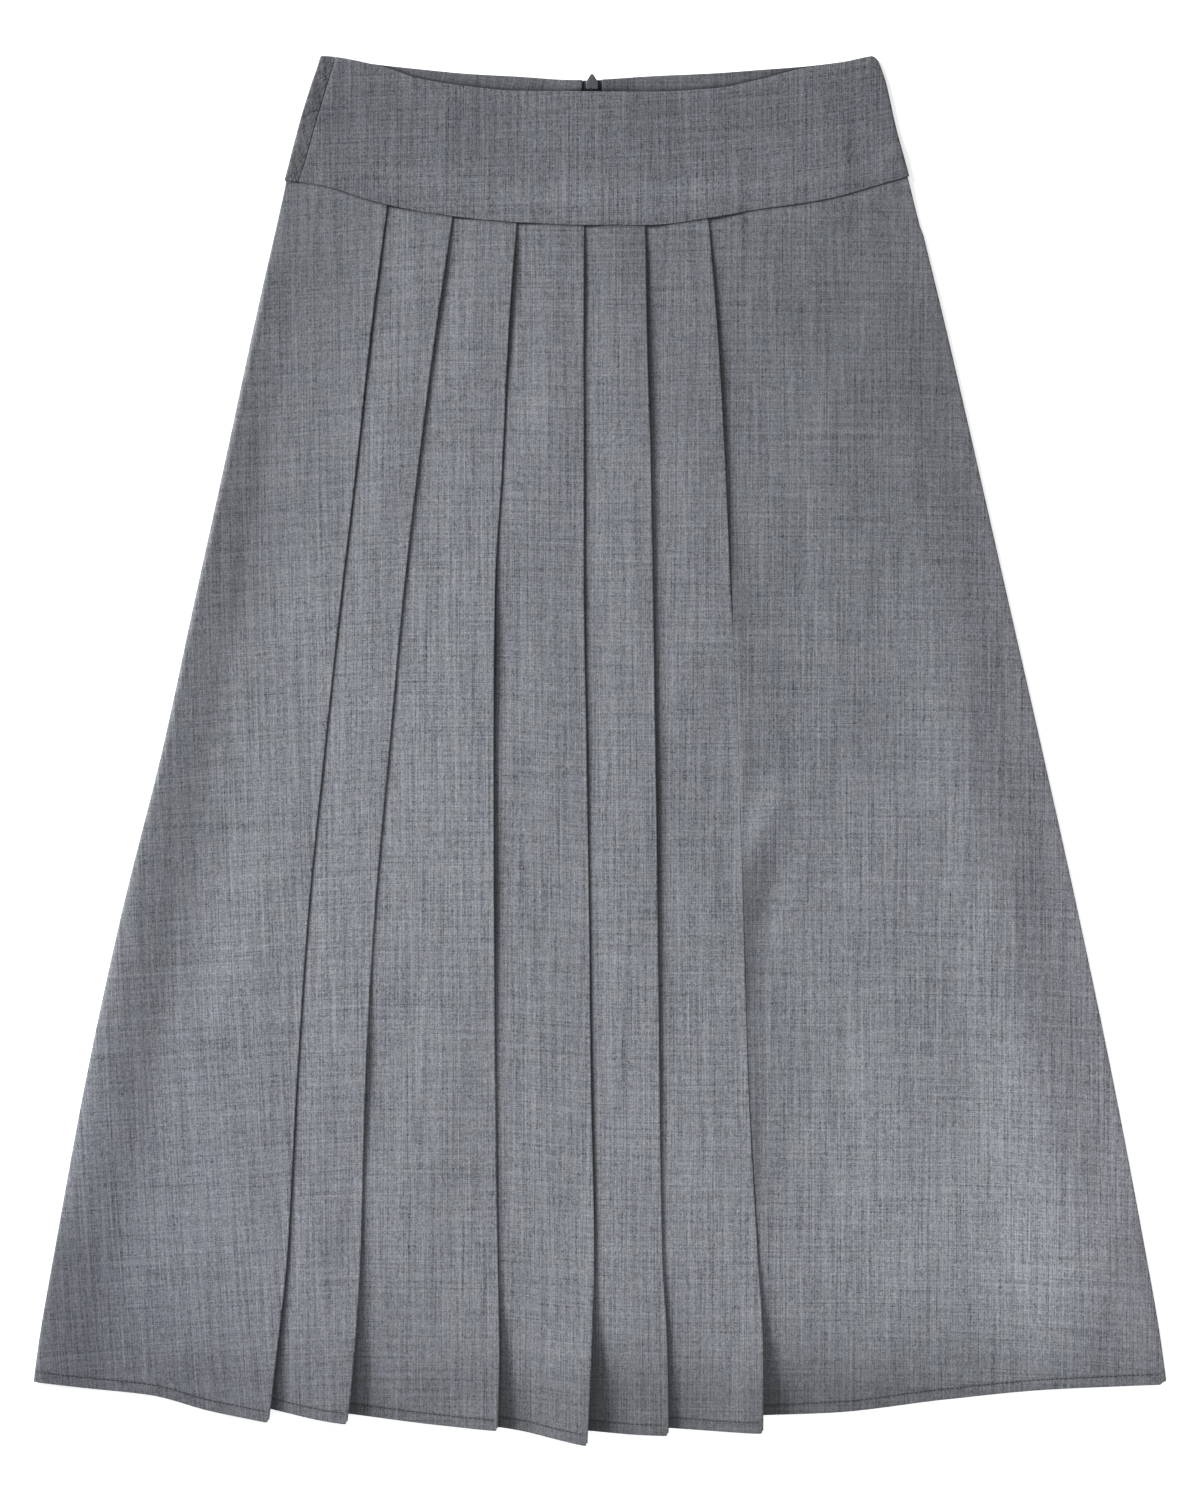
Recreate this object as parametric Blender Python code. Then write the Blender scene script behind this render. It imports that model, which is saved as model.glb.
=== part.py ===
"""A maxi skirt in grey suiting, with a shaped yoke and six knife pleats, laid flat on its back.

Every length is in millimetres, and the meshes are made in metres. X runs across the skirt, +Y runs
from the hem to the waist and +Z points up from the surface that the skirt lies on. Each cloth piece
is one wall of even thickness round a grid of points in its middle, and the heights of the layers
are worked out from the pieces that lie below them.
"""

import math
from functools import partial

import bmesh
import bpy
import numpy as np
from mathutils import Matrix

MM = 0.001

# Cloth
CLOTH = 1.0
GAP = 0.3
LAYER = CLOTH + GAP
EASE = 0.2
FOLD_POINTS = 4
SETTLE_STEPS = 6
SHARP_ANGLE = math.radians(50.0)

# Seams
TUCK = 8.0
FRONT_STRIP = 8.6
SIDE_WRAP = 9.0
FOLD_FLAT = 5.0
SEAM_SLOPE = 20.0
SEAM_MARGIN = 3.0
FACING_DEPTH = 60.0
FACING_SETBACK = 6.6
FACING_SIDE_SETBACK = 3.0
YOKE_RISE = 28.0

# How gently the cloth steps up and down over what lies below it
BACK_FLAT_OVER_PULL = 4.0
FRONT_FLAT_OVER_PULL = 16.0
FRONT_SLOPE = 45.0
FRONT_SLOPE_BELOW_PULL = 24.0
FRONT_SLOPE_BELOW_TAPE = 100.0
FACING_FLAT_OVER_TAPE = 15.0
FACING_SLOPE = 12.0
PLEATS_MARGIN = 10.0
PLEATS_SLOPE = 30.0

# Pleats
PLEAT_DEPTH_TOP = 20.0
PLEAT_DEPTH_HEM = 30.0
PLEAT_TOP_Y = 372.0
PLEAT_HEM_Y = -450.0
PLEAT_CLEAR = 1.5
PLEATS = 6

# Centre-back zip
BACK_CENTRE = -5.3
ZIP_BOTTOM = 236.0
TAPE_HALF = 13.0
TAPE_SETBACK = 1.0
TAPE_MIDDLE = 7.8
TAPE_NARROWS = (431.0, 434.5)
COIL_HALF = 1.8
COIL_SIDES = 8
STOP_LENGTH = 4.0
SLIDER_WIDTH = 8.0
SLIDER_BOTTOM = 435.5
SLIDER_SHOULDER = 439.5
SLIDER_TIP = 445.4
SLIDER_TIP_HALF = 0.8
SLIDER_HEIGHT = 2.6
BAIL_WIDTH = 0.8
BAIL_BAR = 0.4
BAIL_BOTTOM = 0.1
BAIL_HALF_LENGTH = 2.4
BAIL_LEG = 0.6
BAIL_IN_SLIDER = 1.0
PULL_THICKNESS = 0.6
PULL_WIDTH = 5.0
PULL_LENGTH = 22.0
PULL_TAPER = 0.5
PULL_CORNER = 1.0
PULL_BAR = 0.6
PULL_WINDOW = 4.3
PULL_WINDOW_HALF = 0.75
PULL_AXIS_Y = 440.5
PULL_AXIS_Z = BAIL_BOTTOM + BAIL_BAR + GAP + PULL_THICKNESS / 2
PULL_END = PULL_AXIS_Y - PULL_LENGTH
PULL_TOP = PULL_AXIS_Z + PULL_THICKNESS / 2
PULL_LIFT = PULL_TOP + GAP
PULL_SLOPE = 16.0
SLIT_HALF = GAP / 2
SLIT_HALF_AT_BAIL = BAIL_WIDTH / 2 + GAP
SLIT_WIDENS = (425.0, 433.0)

# The skirt across, at ten heights: the side folds and the folded edges of the pleats.
SECTION_COLUMNS = ("y", "left", "pleat_1", "pleat_2", "pleat_3", "pleat_4", "pleat_5", "pleat_6", "right")
SECTIONS = (
    (-455.0, -378.0, -219.5, -167.5, -67.3, -8.2, 45.3, 107.4, 378.0),
    (-395.0, -370.8, -212.5, -161.4, -66.2, -5.5, 44.5, 107.4, 370.8),
    (-330.0, -359.7, -205.7, -157.5, -67.4, -3.8, 41.1, 103.8, 359.7),
    (-220.0, -339.6, -199.7, -154.5, -68.8, -5.8, 39.3, 97.9, 338.9),
    (-110.0, -316.0, -192.3, -148.5, -69.7, -7.1, 38.1, 94.7, 316.0),
    (0.0, -288.6, -181.3, -138.8, -70.0, -8.7, 36.6, 91.7, 291.7),
    (100.0, -267.0, -170.5, -129.6, -69.2, -10.4, 35.1, 86.5, 269.0),
    (190.0, -247.3, -160.1, -119.3, -64.1, -10.5, 33.5, 82.5, 248.6),
    (280.0, -228.1, -150.4, -107.6, -59.9, -10.6, 30.9, 77.3, 227.8),
    (372.0, -207.5, -138.3, -94.0, -52.7, -10.0, 29.8, 69.7, 205.5),
)

# Where each face of the front meets its hem, at every quarter of its width from the left.
HEM_QUARTERS = (0.0, 0.25, 0.5, 0.75, 1.0)
HEMS = {
    "left": (-415.5, -421.2, -425.7, -436.0, -443.3),
    "pleat_1": (-429.0, -432.5, -437.2, -441.3, -443.9),
    "pleat_2": (-434.5, -438.1, -442.3, -445.9, -448.1),
    "pleat_3": (-442.5, -445.5, -448.9, -453.7, -457.9),
    "pleat_4": (-446.0, -448.0, -450.0, -451.4, -451.9),
    "pleat_5": (-444.5, -446.6, -448.2, -449.3, -449.6),
    "pleat_6": (-439.5, -437.2, -428.6, -421.6, -418.6),
}

# The curves of the yoke and of the back hem, across the skirt.
CURVE_COLUMNS = ("x", "front_waist", "back_waist", "yoke_seam")
CURVES = (
    (-208.0, 457.7, 457.5, 375.5),
    (-184.0, 457.7, 457.5, 372.3),
    (-148.0, 452.0, 452.3, 361.3),
    (-118.0, 443.4, 449.0, 354.9),
    (-85.0, 438.6, 445.9, 350.4),
    (-55.0, 436.0, 444.3, 347.8),
    (-10.0, 435.0, 441.6, 345.8),
    (30.0, 435.3, 444.3, 345.8),
    (75.0, 437.7, 446.4, 351.1),
    (102.0, 442.4, 448.4, 356.0),
    (134.0, 449.8, 450.8, 360.5),
    (158.0, 453.2, 453.6, 365.1),
    (182.0, 457.6, 457.4, 372.1),
    (204.0, 457.6, 457.4, 378.3),
)
BACK_HEM_COLUMNS = ("x", "hem")
BACK_HEM = (
    (-374.0, -415.5),
    (-300.0, -420.0),
    (-200.0, -428.0),
    (0.0, -434.0),
    (110.0, -434.0),
    (200.0, -427.0),
    (300.0, -417.5),
    (374.0, -417.0),
)

# The side folds of the yoke. The right one is rounded off at the waist.
YOKE_SIDE_COLUMNS = ("y", "left", "right")
YOKE_SIDES = (
    (345.0, -216.4, 212.5),
    (379.0, -206.6, 203.9),
    (408.0, -198.3, 196.0),
    (422.0, -194.3, 192.8),
    (440.0, -189.1, 189.4),
    (450.0, -186.2, 186.4),
    (454.4, -185.0, 184.8),
    (456.6, -184.3, 182.9),
    (457.7, -184.0, 180.0),
)
YOKE_BOTTOM = YOKE_SIDES[0][0]

# Soft ridges that run down the front: a springy roll along each side fold.
RIDGE_COLUMNS = ("x_top", "y_top", "x_bottom", "y_bottom", "half_width", "height")
RIDGES = (
    (-229.0, 320.0, -357.0, -400.0, 34.0, 2.6),
    (190.0, 320.0, 322.0, -400.0, 44.0, 3.4),
)
RIDGE_ENDS = 60.0

# How far below its top edge each piece has its rows of points, at the centre back.
YOKE_DROPS = (0.0, 5.0, 13.0, 27.0, 31.0, 35.0, 39.0, 43.0, 55.0, 66.0, 77.0, 87.0, 96.0)
YOKE_COLUMNS = 15
FACING_DROPS = (0.0, 5.0, 13.0, 27.0, 31.0, 35.0, 39.0, 43.0, 52.0, 60.0)
TAPE_DROPS = (
    *(0.0, 5.0, 7.5, 10.0, 26.0, 30.0, 34.0, 38.0, 42.0, 55.0, 68.0),
    *(78.0, 88.0, 97.0, 106.0, 115.0, 124.0, 205.0),
)
PANEL_DROPS = (0.0, 10.0, 18.0, 28.0, 40.0, 120.0, 168.0, 220.0, 350.0, 460.0, 570.0, 670.0, 745.0, 800.0)

# Where each piece has its columns of points, as shares of its width.
CENTRE_SHARES = (0.0, 0.02, 0.05, 0.09, 0.15, 0.25, 0.38, 0.52, 0.66, 0.8, 0.9, 1.0)
FACING_SHARES = (0.0, 0.03, 0.06, 0.09, 0.12, 0.16, 0.22, 0.32, 0.44, 0.56, 0.68, 0.8, 0.9, 1.0)
PANEL_SHARES = (0.0, 0.12, 0.3, 0.5, 0.7, 0.85, 1.0)
LEFT_FACE_SHARES = (0.06, 0.15, 0.3, 0.5)
RIGHT_FACE_SHARES = (0.12, 0.3, 0.5, 0.66, 0.8, 0.92)

# Colours, as linear red, green and blue
SUITING = (0.235, 0.247, 0.272)
SUITING_INSIDE = (0.205, 0.215, 0.238)
ZIP_TAPE = (0.045, 0.047, 0.052)
ZIP_COIL = (0.035, 0.036, 0.040)
SLIDER_GREY = (0.150, 0.155, 0.165)


def curve(columns, table, given, wanted):
    """A function that reads one column of a table from another, straight between its rows."""
    rows = np.array(table)
    xs = rows[:, columns.index(given)]
    ys = rows[:, columns.index(wanted)]
    return lambda value: float(np.interp(value, xs, ys))


FOLD_LINES = {name: curve(SECTION_COLUMNS, SECTIONS, "y", name) for name in SECTION_COLUMNS[1:]}
FACE_NAMES = tuple(HEMS)
front_waist = curve(CURVE_COLUMNS, CURVES, "x", "front_waist")
back_waist = curve(CURVE_COLUMNS, CURVES, "x", "back_waist")
yoke_seam = curve(CURVE_COLUMNS, CURVES, "x", "yoke_seam")
back_hem = curve(BACK_HEM_COLUMNS, BACK_HEM, "x", "hem")
yoke_left = curve(YOKE_SIDE_COLUMNS, YOKE_SIDES, "y", "left")
yoke_right = curve(YOKE_SIDE_COLUMNS, YOKE_SIDES, "y", "right")


def ramp(value, start, end):
    """Rises smoothly from 0 at start to 1 at end."""
    share = min(max((value - start) / (end - start), 0.0), 1.0)
    return share * share * (3.0 - 2.0 * share)


def hump(value, low, high, slope):
    """1 between low and high, and falls smoothly to 0 over slope on either side."""
    return ramp(value, low - slope, low) * (1.0 - ramp(value, high, high + slope))


# Heights of the middle of each layer above the surface


def pull_lift(x, y):
    """How far the cloth stands up over the zip's pull, which lies under the back."""
    across = hump(x - BACK_CENTRE, -BACK_FLAT_OVER_PULL, BACK_FLAT_OVER_PULL, PULL_SLOPE)
    along = hump(y, PULL_END - BACK_FLAT_OVER_PULL, SLIDER_TIP, PULL_SLOPE)
    return PULL_LIFT * across * along


def seam_lift(x, y):
    """One layer where the top of the skirt is tucked inside the yoke."""
    return LAYER * hump(y - yoke_seam(x), -SEAM_MARGIN, TUCK + SEAM_MARGIN, SEAM_SLOPE)


def back_yoke_level(x, y):
    return CLOTH / 2 + pull_lift(x, y)


def back_level(x, y):
    """The innermost layer of the back: the yoke, or the skirt below it and where it is tucked in."""
    return back_yoke_level(x, y) + seam_lift(x, y)


def tape_level(x, y):
    return back_level(x, y) + LAYER


def facing_level(x, y):
    """The facing lies on the back yoke, and steps up on to the zip's tapes."""
    over_tape = hump(x - BACK_CENTRE, -FACING_FLAT_OVER_TAPE, FACING_FLAT_OVER_TAPE, FACING_SLOPE)
    return tape_level(x, y) + LAYER * over_tape


def ridge_lift(x, y):
    """The soft ridges of the front."""
    lift = 0.0
    for row in RIDGES:
        ridge = dict(zip(RIDGE_COLUMNS, row))
        share = (ridge["y_top"] - y) / (ridge["y_top"] - ridge["y_bottom"])
        crest = ridge["x_top"] + share * (ridge["x_bottom"] - ridge["x_top"])
        across = hump(x, crest, crest, ridge["half_width"])
        lift += ridge["height"] * across * hump(y, ridge["y_bottom"], ridge["y_top"], RIDGE_ENDS)
    return lift


def front_level(x, y):
    """The lowest layer of the front, over the back, its facing and the zip."""
    over_zip = hump(x - BACK_CENTRE, -FRONT_FLAT_OVER_PULL, FRONT_FLAT_OVER_PULL, FRONT_SLOPE)
    pull_end = PULL_END - FRONT_FLAT_OVER_PULL
    over_pull = PULL_LIFT * over_zip * hump(y, pull_end, SLIDER_TIP, FRONT_SLOPE_BELOW_PULL)
    over_tape = (LAYER + EASE) * over_zip * ramp(y, ZIP_BOTTOM - FRONT_SLOPE_BELOW_TAPE, ZIP_BOTTOM)
    facing_end = back_waist(x) - FACING_DEPTH
    over_facing = LAYER * ramp(y, facing_end - FACING_SLOPE, facing_end)
    return CLOTH / 2 + LAYER + seam_lift(x, y) + over_pull + over_tape + over_facing + ridge_lift(x, y)


def front_yoke_level(x, y):
    """The yoke lies over the top of the front, which is three layers thick at the pleats."""
    first = FOLD_LINES["pleat_1"](y) - PLEAT_DEPTH_TOP - PLEATS_MARGIN
    last = FOLD_LINES["pleat_6"](y) + SEAM_MARGIN
    pleated = hump(x, first, last, PLEATS_SLOPE)
    over_skirt = 1.0 - ramp(y - yoke_seam(x), TUCK + SEAM_MARGIN, TUCK + SEAM_MARGIN + YOKE_RISE)
    return front_level(x, y) + (LAYER + EASE + 2.0 * LAYER * pleated) * over_skirt


# Places on the cloth, seen from above


def settle(x_at, top_at, bottom_at, share):
    """The point on the line x = x_at(y) that lies the given share of the way from top to bottom."""
    y = 0.0
    for _ in range(SETTLE_STEPS):
        x = x_at(y)
        y = top_at(x) + (bottom_at(x, y) - top_at(x)) * share
    return x_at(y), y


def pleat_depth(y):
    """How far a pleat's inner fold lies to the left of its edge."""
    return PLEAT_DEPTH_TOP + (PLEAT_DEPTH_HEM - PLEAT_DEPTH_TOP) * ramp(y, PLEAT_TOP_Y, PLEAT_HEM_Y)


def left_fold(y):
    """The left side fold of the skirt, which is inside that of the yoke where its top is tucked in."""
    skirt = FOLD_LINES["left"](y)
    return max(skirt, yoke_left(y) + LAYER) if y > YOKE_BOTTOM else skirt


def right_fold(y):
    """The right side fold of the skirt, inside that of the yoke in the same way."""
    skirt = FOLD_LINES["right"](y)
    return min(skirt, yoke_right(y) - LAYER) if y > YOKE_BOTTOM else skirt


def face_start(face, y):
    """The left end of a face of the front: a side fold, or the inner fold of the pleat before it."""
    return left_fold(y) if face == "left" else FOLD_LINES[face](y) - pleat_depth(y)


def face_end(face, y):
    """The right end of a face of the front: the edge of its own pleat, or the right side fold."""
    following = FACE_NAMES.index(face) + 1
    return right_fold(y) if following > PLEATS else FOLD_LINES[FACE_NAMES[following]](y)


def on_face(face, x_at, share):
    """The point of a face of the front on the line x = x_at(y), the given share of the way down."""

    def hem_at(x, y):
        start = face_start(face, y)
        return float(np.interp((x - start) / (face_end(face, y) - start), HEM_QUARTERS, HEMS[face]))

    return settle(x_at, lambda x: yoke_seam(x) + TUCK, hem_at, share)


def round_fold(x, y, low, high, side):
    """Points of a fold from its upper layer round to its lower one. Side is 1 for one that faces right."""
    radius = (high - low) / 2
    points = []
    for step in range(FOLD_POINTS):
        angle = math.pi / 2 - math.pi * step / (FOLD_POINTS - 1)
        reach = CLOTH / 2 + radius * (1.0 - math.cos(angle))
        points.append((x - side * reach, y, (low + high) / 2 + radius * math.sin(angle)))
    return points


def offset(line, by):
    """The line moved to the right."""
    return lambda y: line(y) + by


def blend(first, second, share):
    """A line that lies between two others."""
    return lambda y: first(y) + (second(y) - first(y)) * share


# Meshes


def material(name, colour, roughness, metallic=0.0):
    """A plain material for one piece."""
    made = bpy.data.materials.new(name)
    made.use_nodes = True
    shader = made.node_tree.nodes["Principled BSDF"]
    shader.inputs["Base Color"].default_value = (*colour, 1.0)
    shader.inputs["Roughness"].default_value = roughness
    shader.inputs["Metallic"].default_value = metallic
    return made


def place(name, bm, finish, parent):
    """Turns a bmesh in millimetres into an object in metres."""
    bmesh.ops.scale(bm, vec=(MM, MM, MM), verts=bm.verts)
    bmesh.ops.recalc_face_normals(bm, faces=bm.faces)
    mesh = bpy.data.meshes.new(name)
    bm.to_mesh(mesh)
    bm.free()
    mesh.shade_smooth()
    mesh.set_sharp_from_angle(angle=SHARP_ANGLE)
    mesh.materials.append(material(name, *finish))
    piece = bpy.data.objects.new(name, mesh)
    bpy.context.scene.collection.objects.link(piece)
    piece.parent = parent
    return piece


def cloth_wall(name, row_at, drops, finish, parent):
    """A closed wall of cloth round a grid of points in its middle, with a row of them at each drop."""
    grid = np.array([row_at(drop / drops[-1]) for drop in drops])
    normals = np.cross(np.gradient(grid, axis=1), np.gradient(grid, axis=0))
    normals /= np.linalg.norm(normals, axis=2, keepdims=True)
    down, across = grid.shape[:2]
    bm = bmesh.new()
    skins = []
    for side in (0.5, -0.5):
        points = grid + normals * CLOTH * side
        skins.append([[bm.verts.new(point) for point in row] for row in points])
    for i in range(down - 1):
        for j in range(across - 1):
            for skin in skins:
                bm.faces.new((skin[i][j], skin[i][j + 1], skin[i + 1][j + 1], skin[i + 1][j]))
    rim = [(0, j) for j in range(across)]
    rim += [(i, across - 1) for i in range(1, down)]
    rim += [(down - 1, j) for j in range(across - 2, -1, -1)]
    rim += [(i, 0) for i in range(down - 2, 0, -1)]
    outer, inner = skins
    for (i, j), (k, m) in zip(rim, rim[1:] + rim[:1]):
        bm.faces.new((outer[i][j], outer[k][m], inner[k][m], inner[i][j]))
    return place(name, bm, finish, parent)


def extrusion(outline, height, to_world):
    """A bmesh of an outline extruded by height, then turned and moved by a matrix."""
    bm = bmesh.new()
    face = bm.faces.new([bm.verts.new((x, y, 0.0)) for x, y in outline])
    made = bmesh.ops.extrude_face_region(bm, geom=[face])
    tops = [part for part in made["geom"] if isinstance(part, bmesh.types.BMVert)]
    bmesh.ops.translate(bm, vec=(0.0, 0.0, height), verts=tops)
    bmesh.ops.transform(bm, matrix=to_world, verts=bm.verts)
    return bm


def combine(piece, helper, operation):
    """Joins a helper to a piece, or cuts it out, and hides the helper."""
    modifier = piece.modifiers.new(helper.name, "BOOLEAN")
    modifier.operation = operation
    modifier.object = helper
    helper.hide_render = True
    helper.hide_set(True)
    helper.display_type = "WIRE"


# The front


def front_row(share):
    """The front from one side seam to the other, through all its pleats, at one share of its length."""
    points = []
    for by in (SIDE_WRAP, FOLD_FLAT):
        x, y = on_face("left", offset(left_fold, by), share)
        points.append((x, y, back_level(x, y)))
    x, y = on_face("left", left_fold, share)
    points += round_fold(x, y, back_level(x, y), front_level(x, y), -1)[::-1]
    for face, following in zip(FACE_NAMES, FACE_NAMES[1:] + ("right",)):
        start, end = FOLD_LINES.get(face), (lambda y, face=face: face_end(face, y))
        if face == "left":
            stations = [(blend(left_fold, end, part), 0) for part in LEFT_FACE_SHARES]
        else:
            stations = [(offset(start, PLEAT_CLEAR), 0)]
        if following == "right":
            stations += [(blend(start, end, part), 0) for part in RIGHT_FACE_SHARES]
        else:
            inner = (lambda y, end=end: end(y) - pleat_depth(y))
            stations += [(blend(stations[-1][0], inner, 0.5), 1), (offset(inner, -PLEAT_CLEAR), 2)]
        for line, layers in stations:
            x, y = on_face(face, line, share)
            points.append((x, y, front_level(x, y) + layers * LAYER))
        x, y = on_face(face, end, share)
        level = front_level(x, y)
        if following == "right":
            points += round_fold(x, y, back_level(x, y), level, 1)
            continue
        points += round_fold(x, y, level + LAYER, level + 2 * LAYER, 1)
        x, y = on_face(following, inner, share)
        level = front_level(x, y)
        points += round_fold(x, y, level, level + LAYER, -1)
    for by in (-FOLD_FLAT, -SIDE_WRAP):
        x, y = on_face("pleat_6", offset(right_fold, by), share)
        points.append((x, y, back_level(x, y)))
    return points


def front_yoke_row(share):
    """The front yoke from its left seam, over the right side fold and on to the back."""
    start, end = offset(yoke_left, FRONT_STRIP + GAP / 2), offset(yoke_right, -FOLD_FLAT)
    points = []
    for step in range(YOKE_COLUMNS + 1):
        x, y = settle(blend(start, end, step / YOKE_COLUMNS), front_waist, lambda x, _: yoke_seam(x), share)
        points.append((x, y, front_yoke_level(x, y)))
    x, y = settle(yoke_right, front_waist, lambda x, _: yoke_seam(x), share)
    points += round_fold(x, y, back_yoke_level(x, y), front_yoke_level(x, y), 1)
    for by in (-FOLD_FLAT, -SIDE_WRAP):
        x, y = settle(offset(yoke_right, by), back_waist, lambda x, _: yoke_seam(x), share)
        points.append((x, y, back_yoke_level(x, y)))
    return points


# The back


def slit_edge(side):
    """The edge of the back along its centre seam, which opens a little round the slider's bail."""

    def line(y):
        wide = ramp(y, *SLIT_WIDENS)
        return BACK_CENTRE + side * (SLIT_HALF + (SLIT_HALF_AT_BAIL - SLIT_HALF) * wide)

    return line


def back_yoke_row(side, share):
    """Half of the back yoke. The left one goes on round the side fold to its seam on the front."""
    outer = offset(yoke_right, -SIDE_WRAP - GAP) if side > 0 else offset(yoke_left, FOLD_FLAT)
    points = []
    for part in CENTRE_SHARES:
        x, y = settle(blend(slit_edge(side), outer, part), back_waist, lambda x, _: yoke_seam(x), share)
        points.append((x, y, back_yoke_level(x, y)))
    if side > 0:
        return points
    x, y = settle(yoke_left, front_waist, lambda x, _: yoke_seam(x), share)
    points += round_fold(x, y, back_yoke_level(x, y), front_yoke_level(x, y), -1)[::-1]
    for by in (FOLD_FLAT, FRONT_STRIP - GAP / 2):
        x, y = settle(offset(yoke_left, by), front_waist, lambda x, _: yoke_seam(x), share)
        points.append((x, y, front_yoke_level(x, y)))
    return points


def back_panel_row(side, share):
    """Half of the back of the skirt, from the centre seam to the side seam."""
    outer = offset(right_fold, -SIDE_WRAP - GAP) if side > 0 else offset(left_fold, SIDE_WRAP + GAP)
    top = (lambda x: yoke_seam(x) + TUCK)
    points = []
    for part in PANEL_SHARES:
        x, y = settle(blend(slit_edge(side), outer, part), top, lambda x, _: back_hem(x), share)
        points.append((x, y, back_level(x, y)))
    return points


def facing_row(side, share):
    """Half of the facing inside the back of the yoke, set back from the zip."""
    inner = lambda y: BACK_CENTRE + side * FACING_SETBACK
    setback = SIDE_WRAP + FACING_SIDE_SETBACK
    outer = offset(yoke_right, -setback) if side > 0 else offset(yoke_left, setback)
    points = []
    for part in FACING_SHARES:
        x, y = settle(blend(inner, outer, part), back_waist, lambda x, _: back_waist(x) - FACING_DEPTH, share)
        points.append((x, y, facing_level(x, y)))
    return points


# The zip


def tape_row(side, share):
    """One tape of the zip. It leaves room for the slider at its top."""

    def inner(y):
        half = COIL_HALF + GAP
        return BACK_CENTRE + side * (half + (SLIDER_WIDTH / 2 + GAP - half) * ramp(y, *TAPE_NARROWS))

    def middle(y):
        return BACK_CENTRE + side * TAPE_MIDDLE

    def outer(y):
        return BACK_CENTRE + side * TAPE_HALF

    points = []
    for line in (inner, middle, outer):
        x, y = settle(line, lambda x: back_waist(x) - TAPE_SETBACK, lambda x, _: ZIP_BOTTOM, share)
        points.append((x, y, tape_level(x, y)))
    return points


def zip_bar(name, bottom, top, finish, parent):
    """A low rounded bar between the tapes, which follows the back from bottom to top."""
    bm = bmesh.new()
    rings = []
    tape_top = back_waist(BACK_CENTRE) - TAPE_SETBACK
    between = [tape_top - drop for drop in reversed(TAPE_DROPS)]
    for y in [bottom] + [y for y in between if bottom < y < top] + [top]:
        middle = tape_level(BACK_CENTRE, y)
        ring = []
        for side in range(COIL_SIDES):
            angle = 2 * math.pi * (side + 0.5) / COIL_SIDES
            x = BACK_CENTRE + COIL_HALF * math.cos(angle)
            ring.append(bm.verts.new((x, y, middle + CLOTH / 2 * math.sin(angle))))
        rings.append(ring)
    for lower, upper in zip(rings, rings[1:]):
        for side in range(COIL_SIDES):
            following = (side + 1) % COIL_SIDES
            bm.faces.new((lower[side], lower[following], upper[following], upper[side]))
    bm.faces.new(rings[0])
    bm.faces.new(rings[-1])
    return place(name, bm, finish, parent)


def zip_slider(parent):
    """The slider: a wedge on top of the tapes, with a bail below it that reaches out through the back."""
    finish = (SLIDER_GREY, 0.45, 0.3)
    underside = CLOTH + PULL_LIFT + GAP
    half = SLIDER_WIDTH / 2
    wedge = (
        (-half, SLIDER_BOTTOM),
        (half, SLIDER_BOTTOM),
        (half, SLIDER_SHOULDER),
        (SLIDER_TIP_HALF, SLIDER_TIP),
        (-SLIDER_TIP_HALF, SLIDER_TIP),
        (-half, SLIDER_SHOULDER),
    )
    body = extrusion(wedge, SLIDER_HEIGHT, Matrix.Translation((BACK_CENTRE, 0.0, underside)))
    slider = place("zip_slider", body, finish, parent)
    low, high = PULL_AXIS_Y - BAIL_HALF_LENGTH, PULL_AXIS_Y + BAIL_HALF_LENGTH
    sunk = underside + BAIL_IN_SLIDER
    loop = (
        (low, BAIL_BOTTOM),
        (high, BAIL_BOTTOM),
        (high, sunk),
        (high - BAIL_LEG, sunk),
        (high - BAIL_LEG, BAIL_BOTTOM + BAIL_BAR),
        (low + BAIL_LEG, BAIL_BOTTOM + BAIL_BAR),
        (low + BAIL_LEG, sunk),
        (low, sunk),
    )
    upright = Matrix(((0, 0, 1, BACK_CENTRE - BAIL_WIDTH / 2), (1, 0, 0, 0), (0, 1, 0, 0), (0, 0, 0, 1)))
    bail = place("bail_shape", extrusion(loop, BAIL_WIDTH, upright), finish, parent)
    combine(slider, bail, "UNION")
    return slider


def zip_pull(parent):
    """The pull tab, which hangs in the bail by the bar at the end of its window and lies under the back."""
    hinge = bpy.data.objects.new("pull_hinge", None)
    hinge.location = (BACK_CENTRE * MM, PULL_AXIS_Y * MM, PULL_AXIS_Z * MM)
    hinge.parent = parent
    bpy.context.scene.collection.objects.link(hinge)
    half = PULL_WIDTH / 2
    tail = -PULL_LENGTH
    tab = (
        (half, PULL_BAR / 2),
        (-half, PULL_BAR / 2),
        (-half + PULL_TAPER, tail + PULL_CORNER),
        (-half + PULL_TAPER + PULL_CORNER, tail),
        (half - PULL_TAPER - PULL_CORNER, tail),
        (half - PULL_TAPER, tail + PULL_CORNER),
    )
    down = Matrix.Translation((0.0, 0.0, -PULL_THICKNESS / 2))
    finish = (SLIDER_GREY, 0.4, 0.4)
    pull = place("zip_pull", extrusion(tab, PULL_THICKNESS, down), finish, hinge)
    opening = (
        (PULL_WINDOW_HALF, -PULL_BAR / 2),
        (-PULL_WINDOW_HALF, -PULL_BAR / 2),
        (-PULL_WINDOW_HALF, -PULL_BAR / 2 - PULL_WINDOW),
        (PULL_WINDOW_HALF, -PULL_BAR / 2 - PULL_WINDOW),
    )
    through = Matrix.Translation((0.0, 0.0, -PULL_THICKNESS))
    window = place("window_shape", extrusion(opening, 2 * PULL_THICKNESS, through), finish, hinge)
    combine(pull, window, "DIFFERENCE")
    return pull


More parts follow.
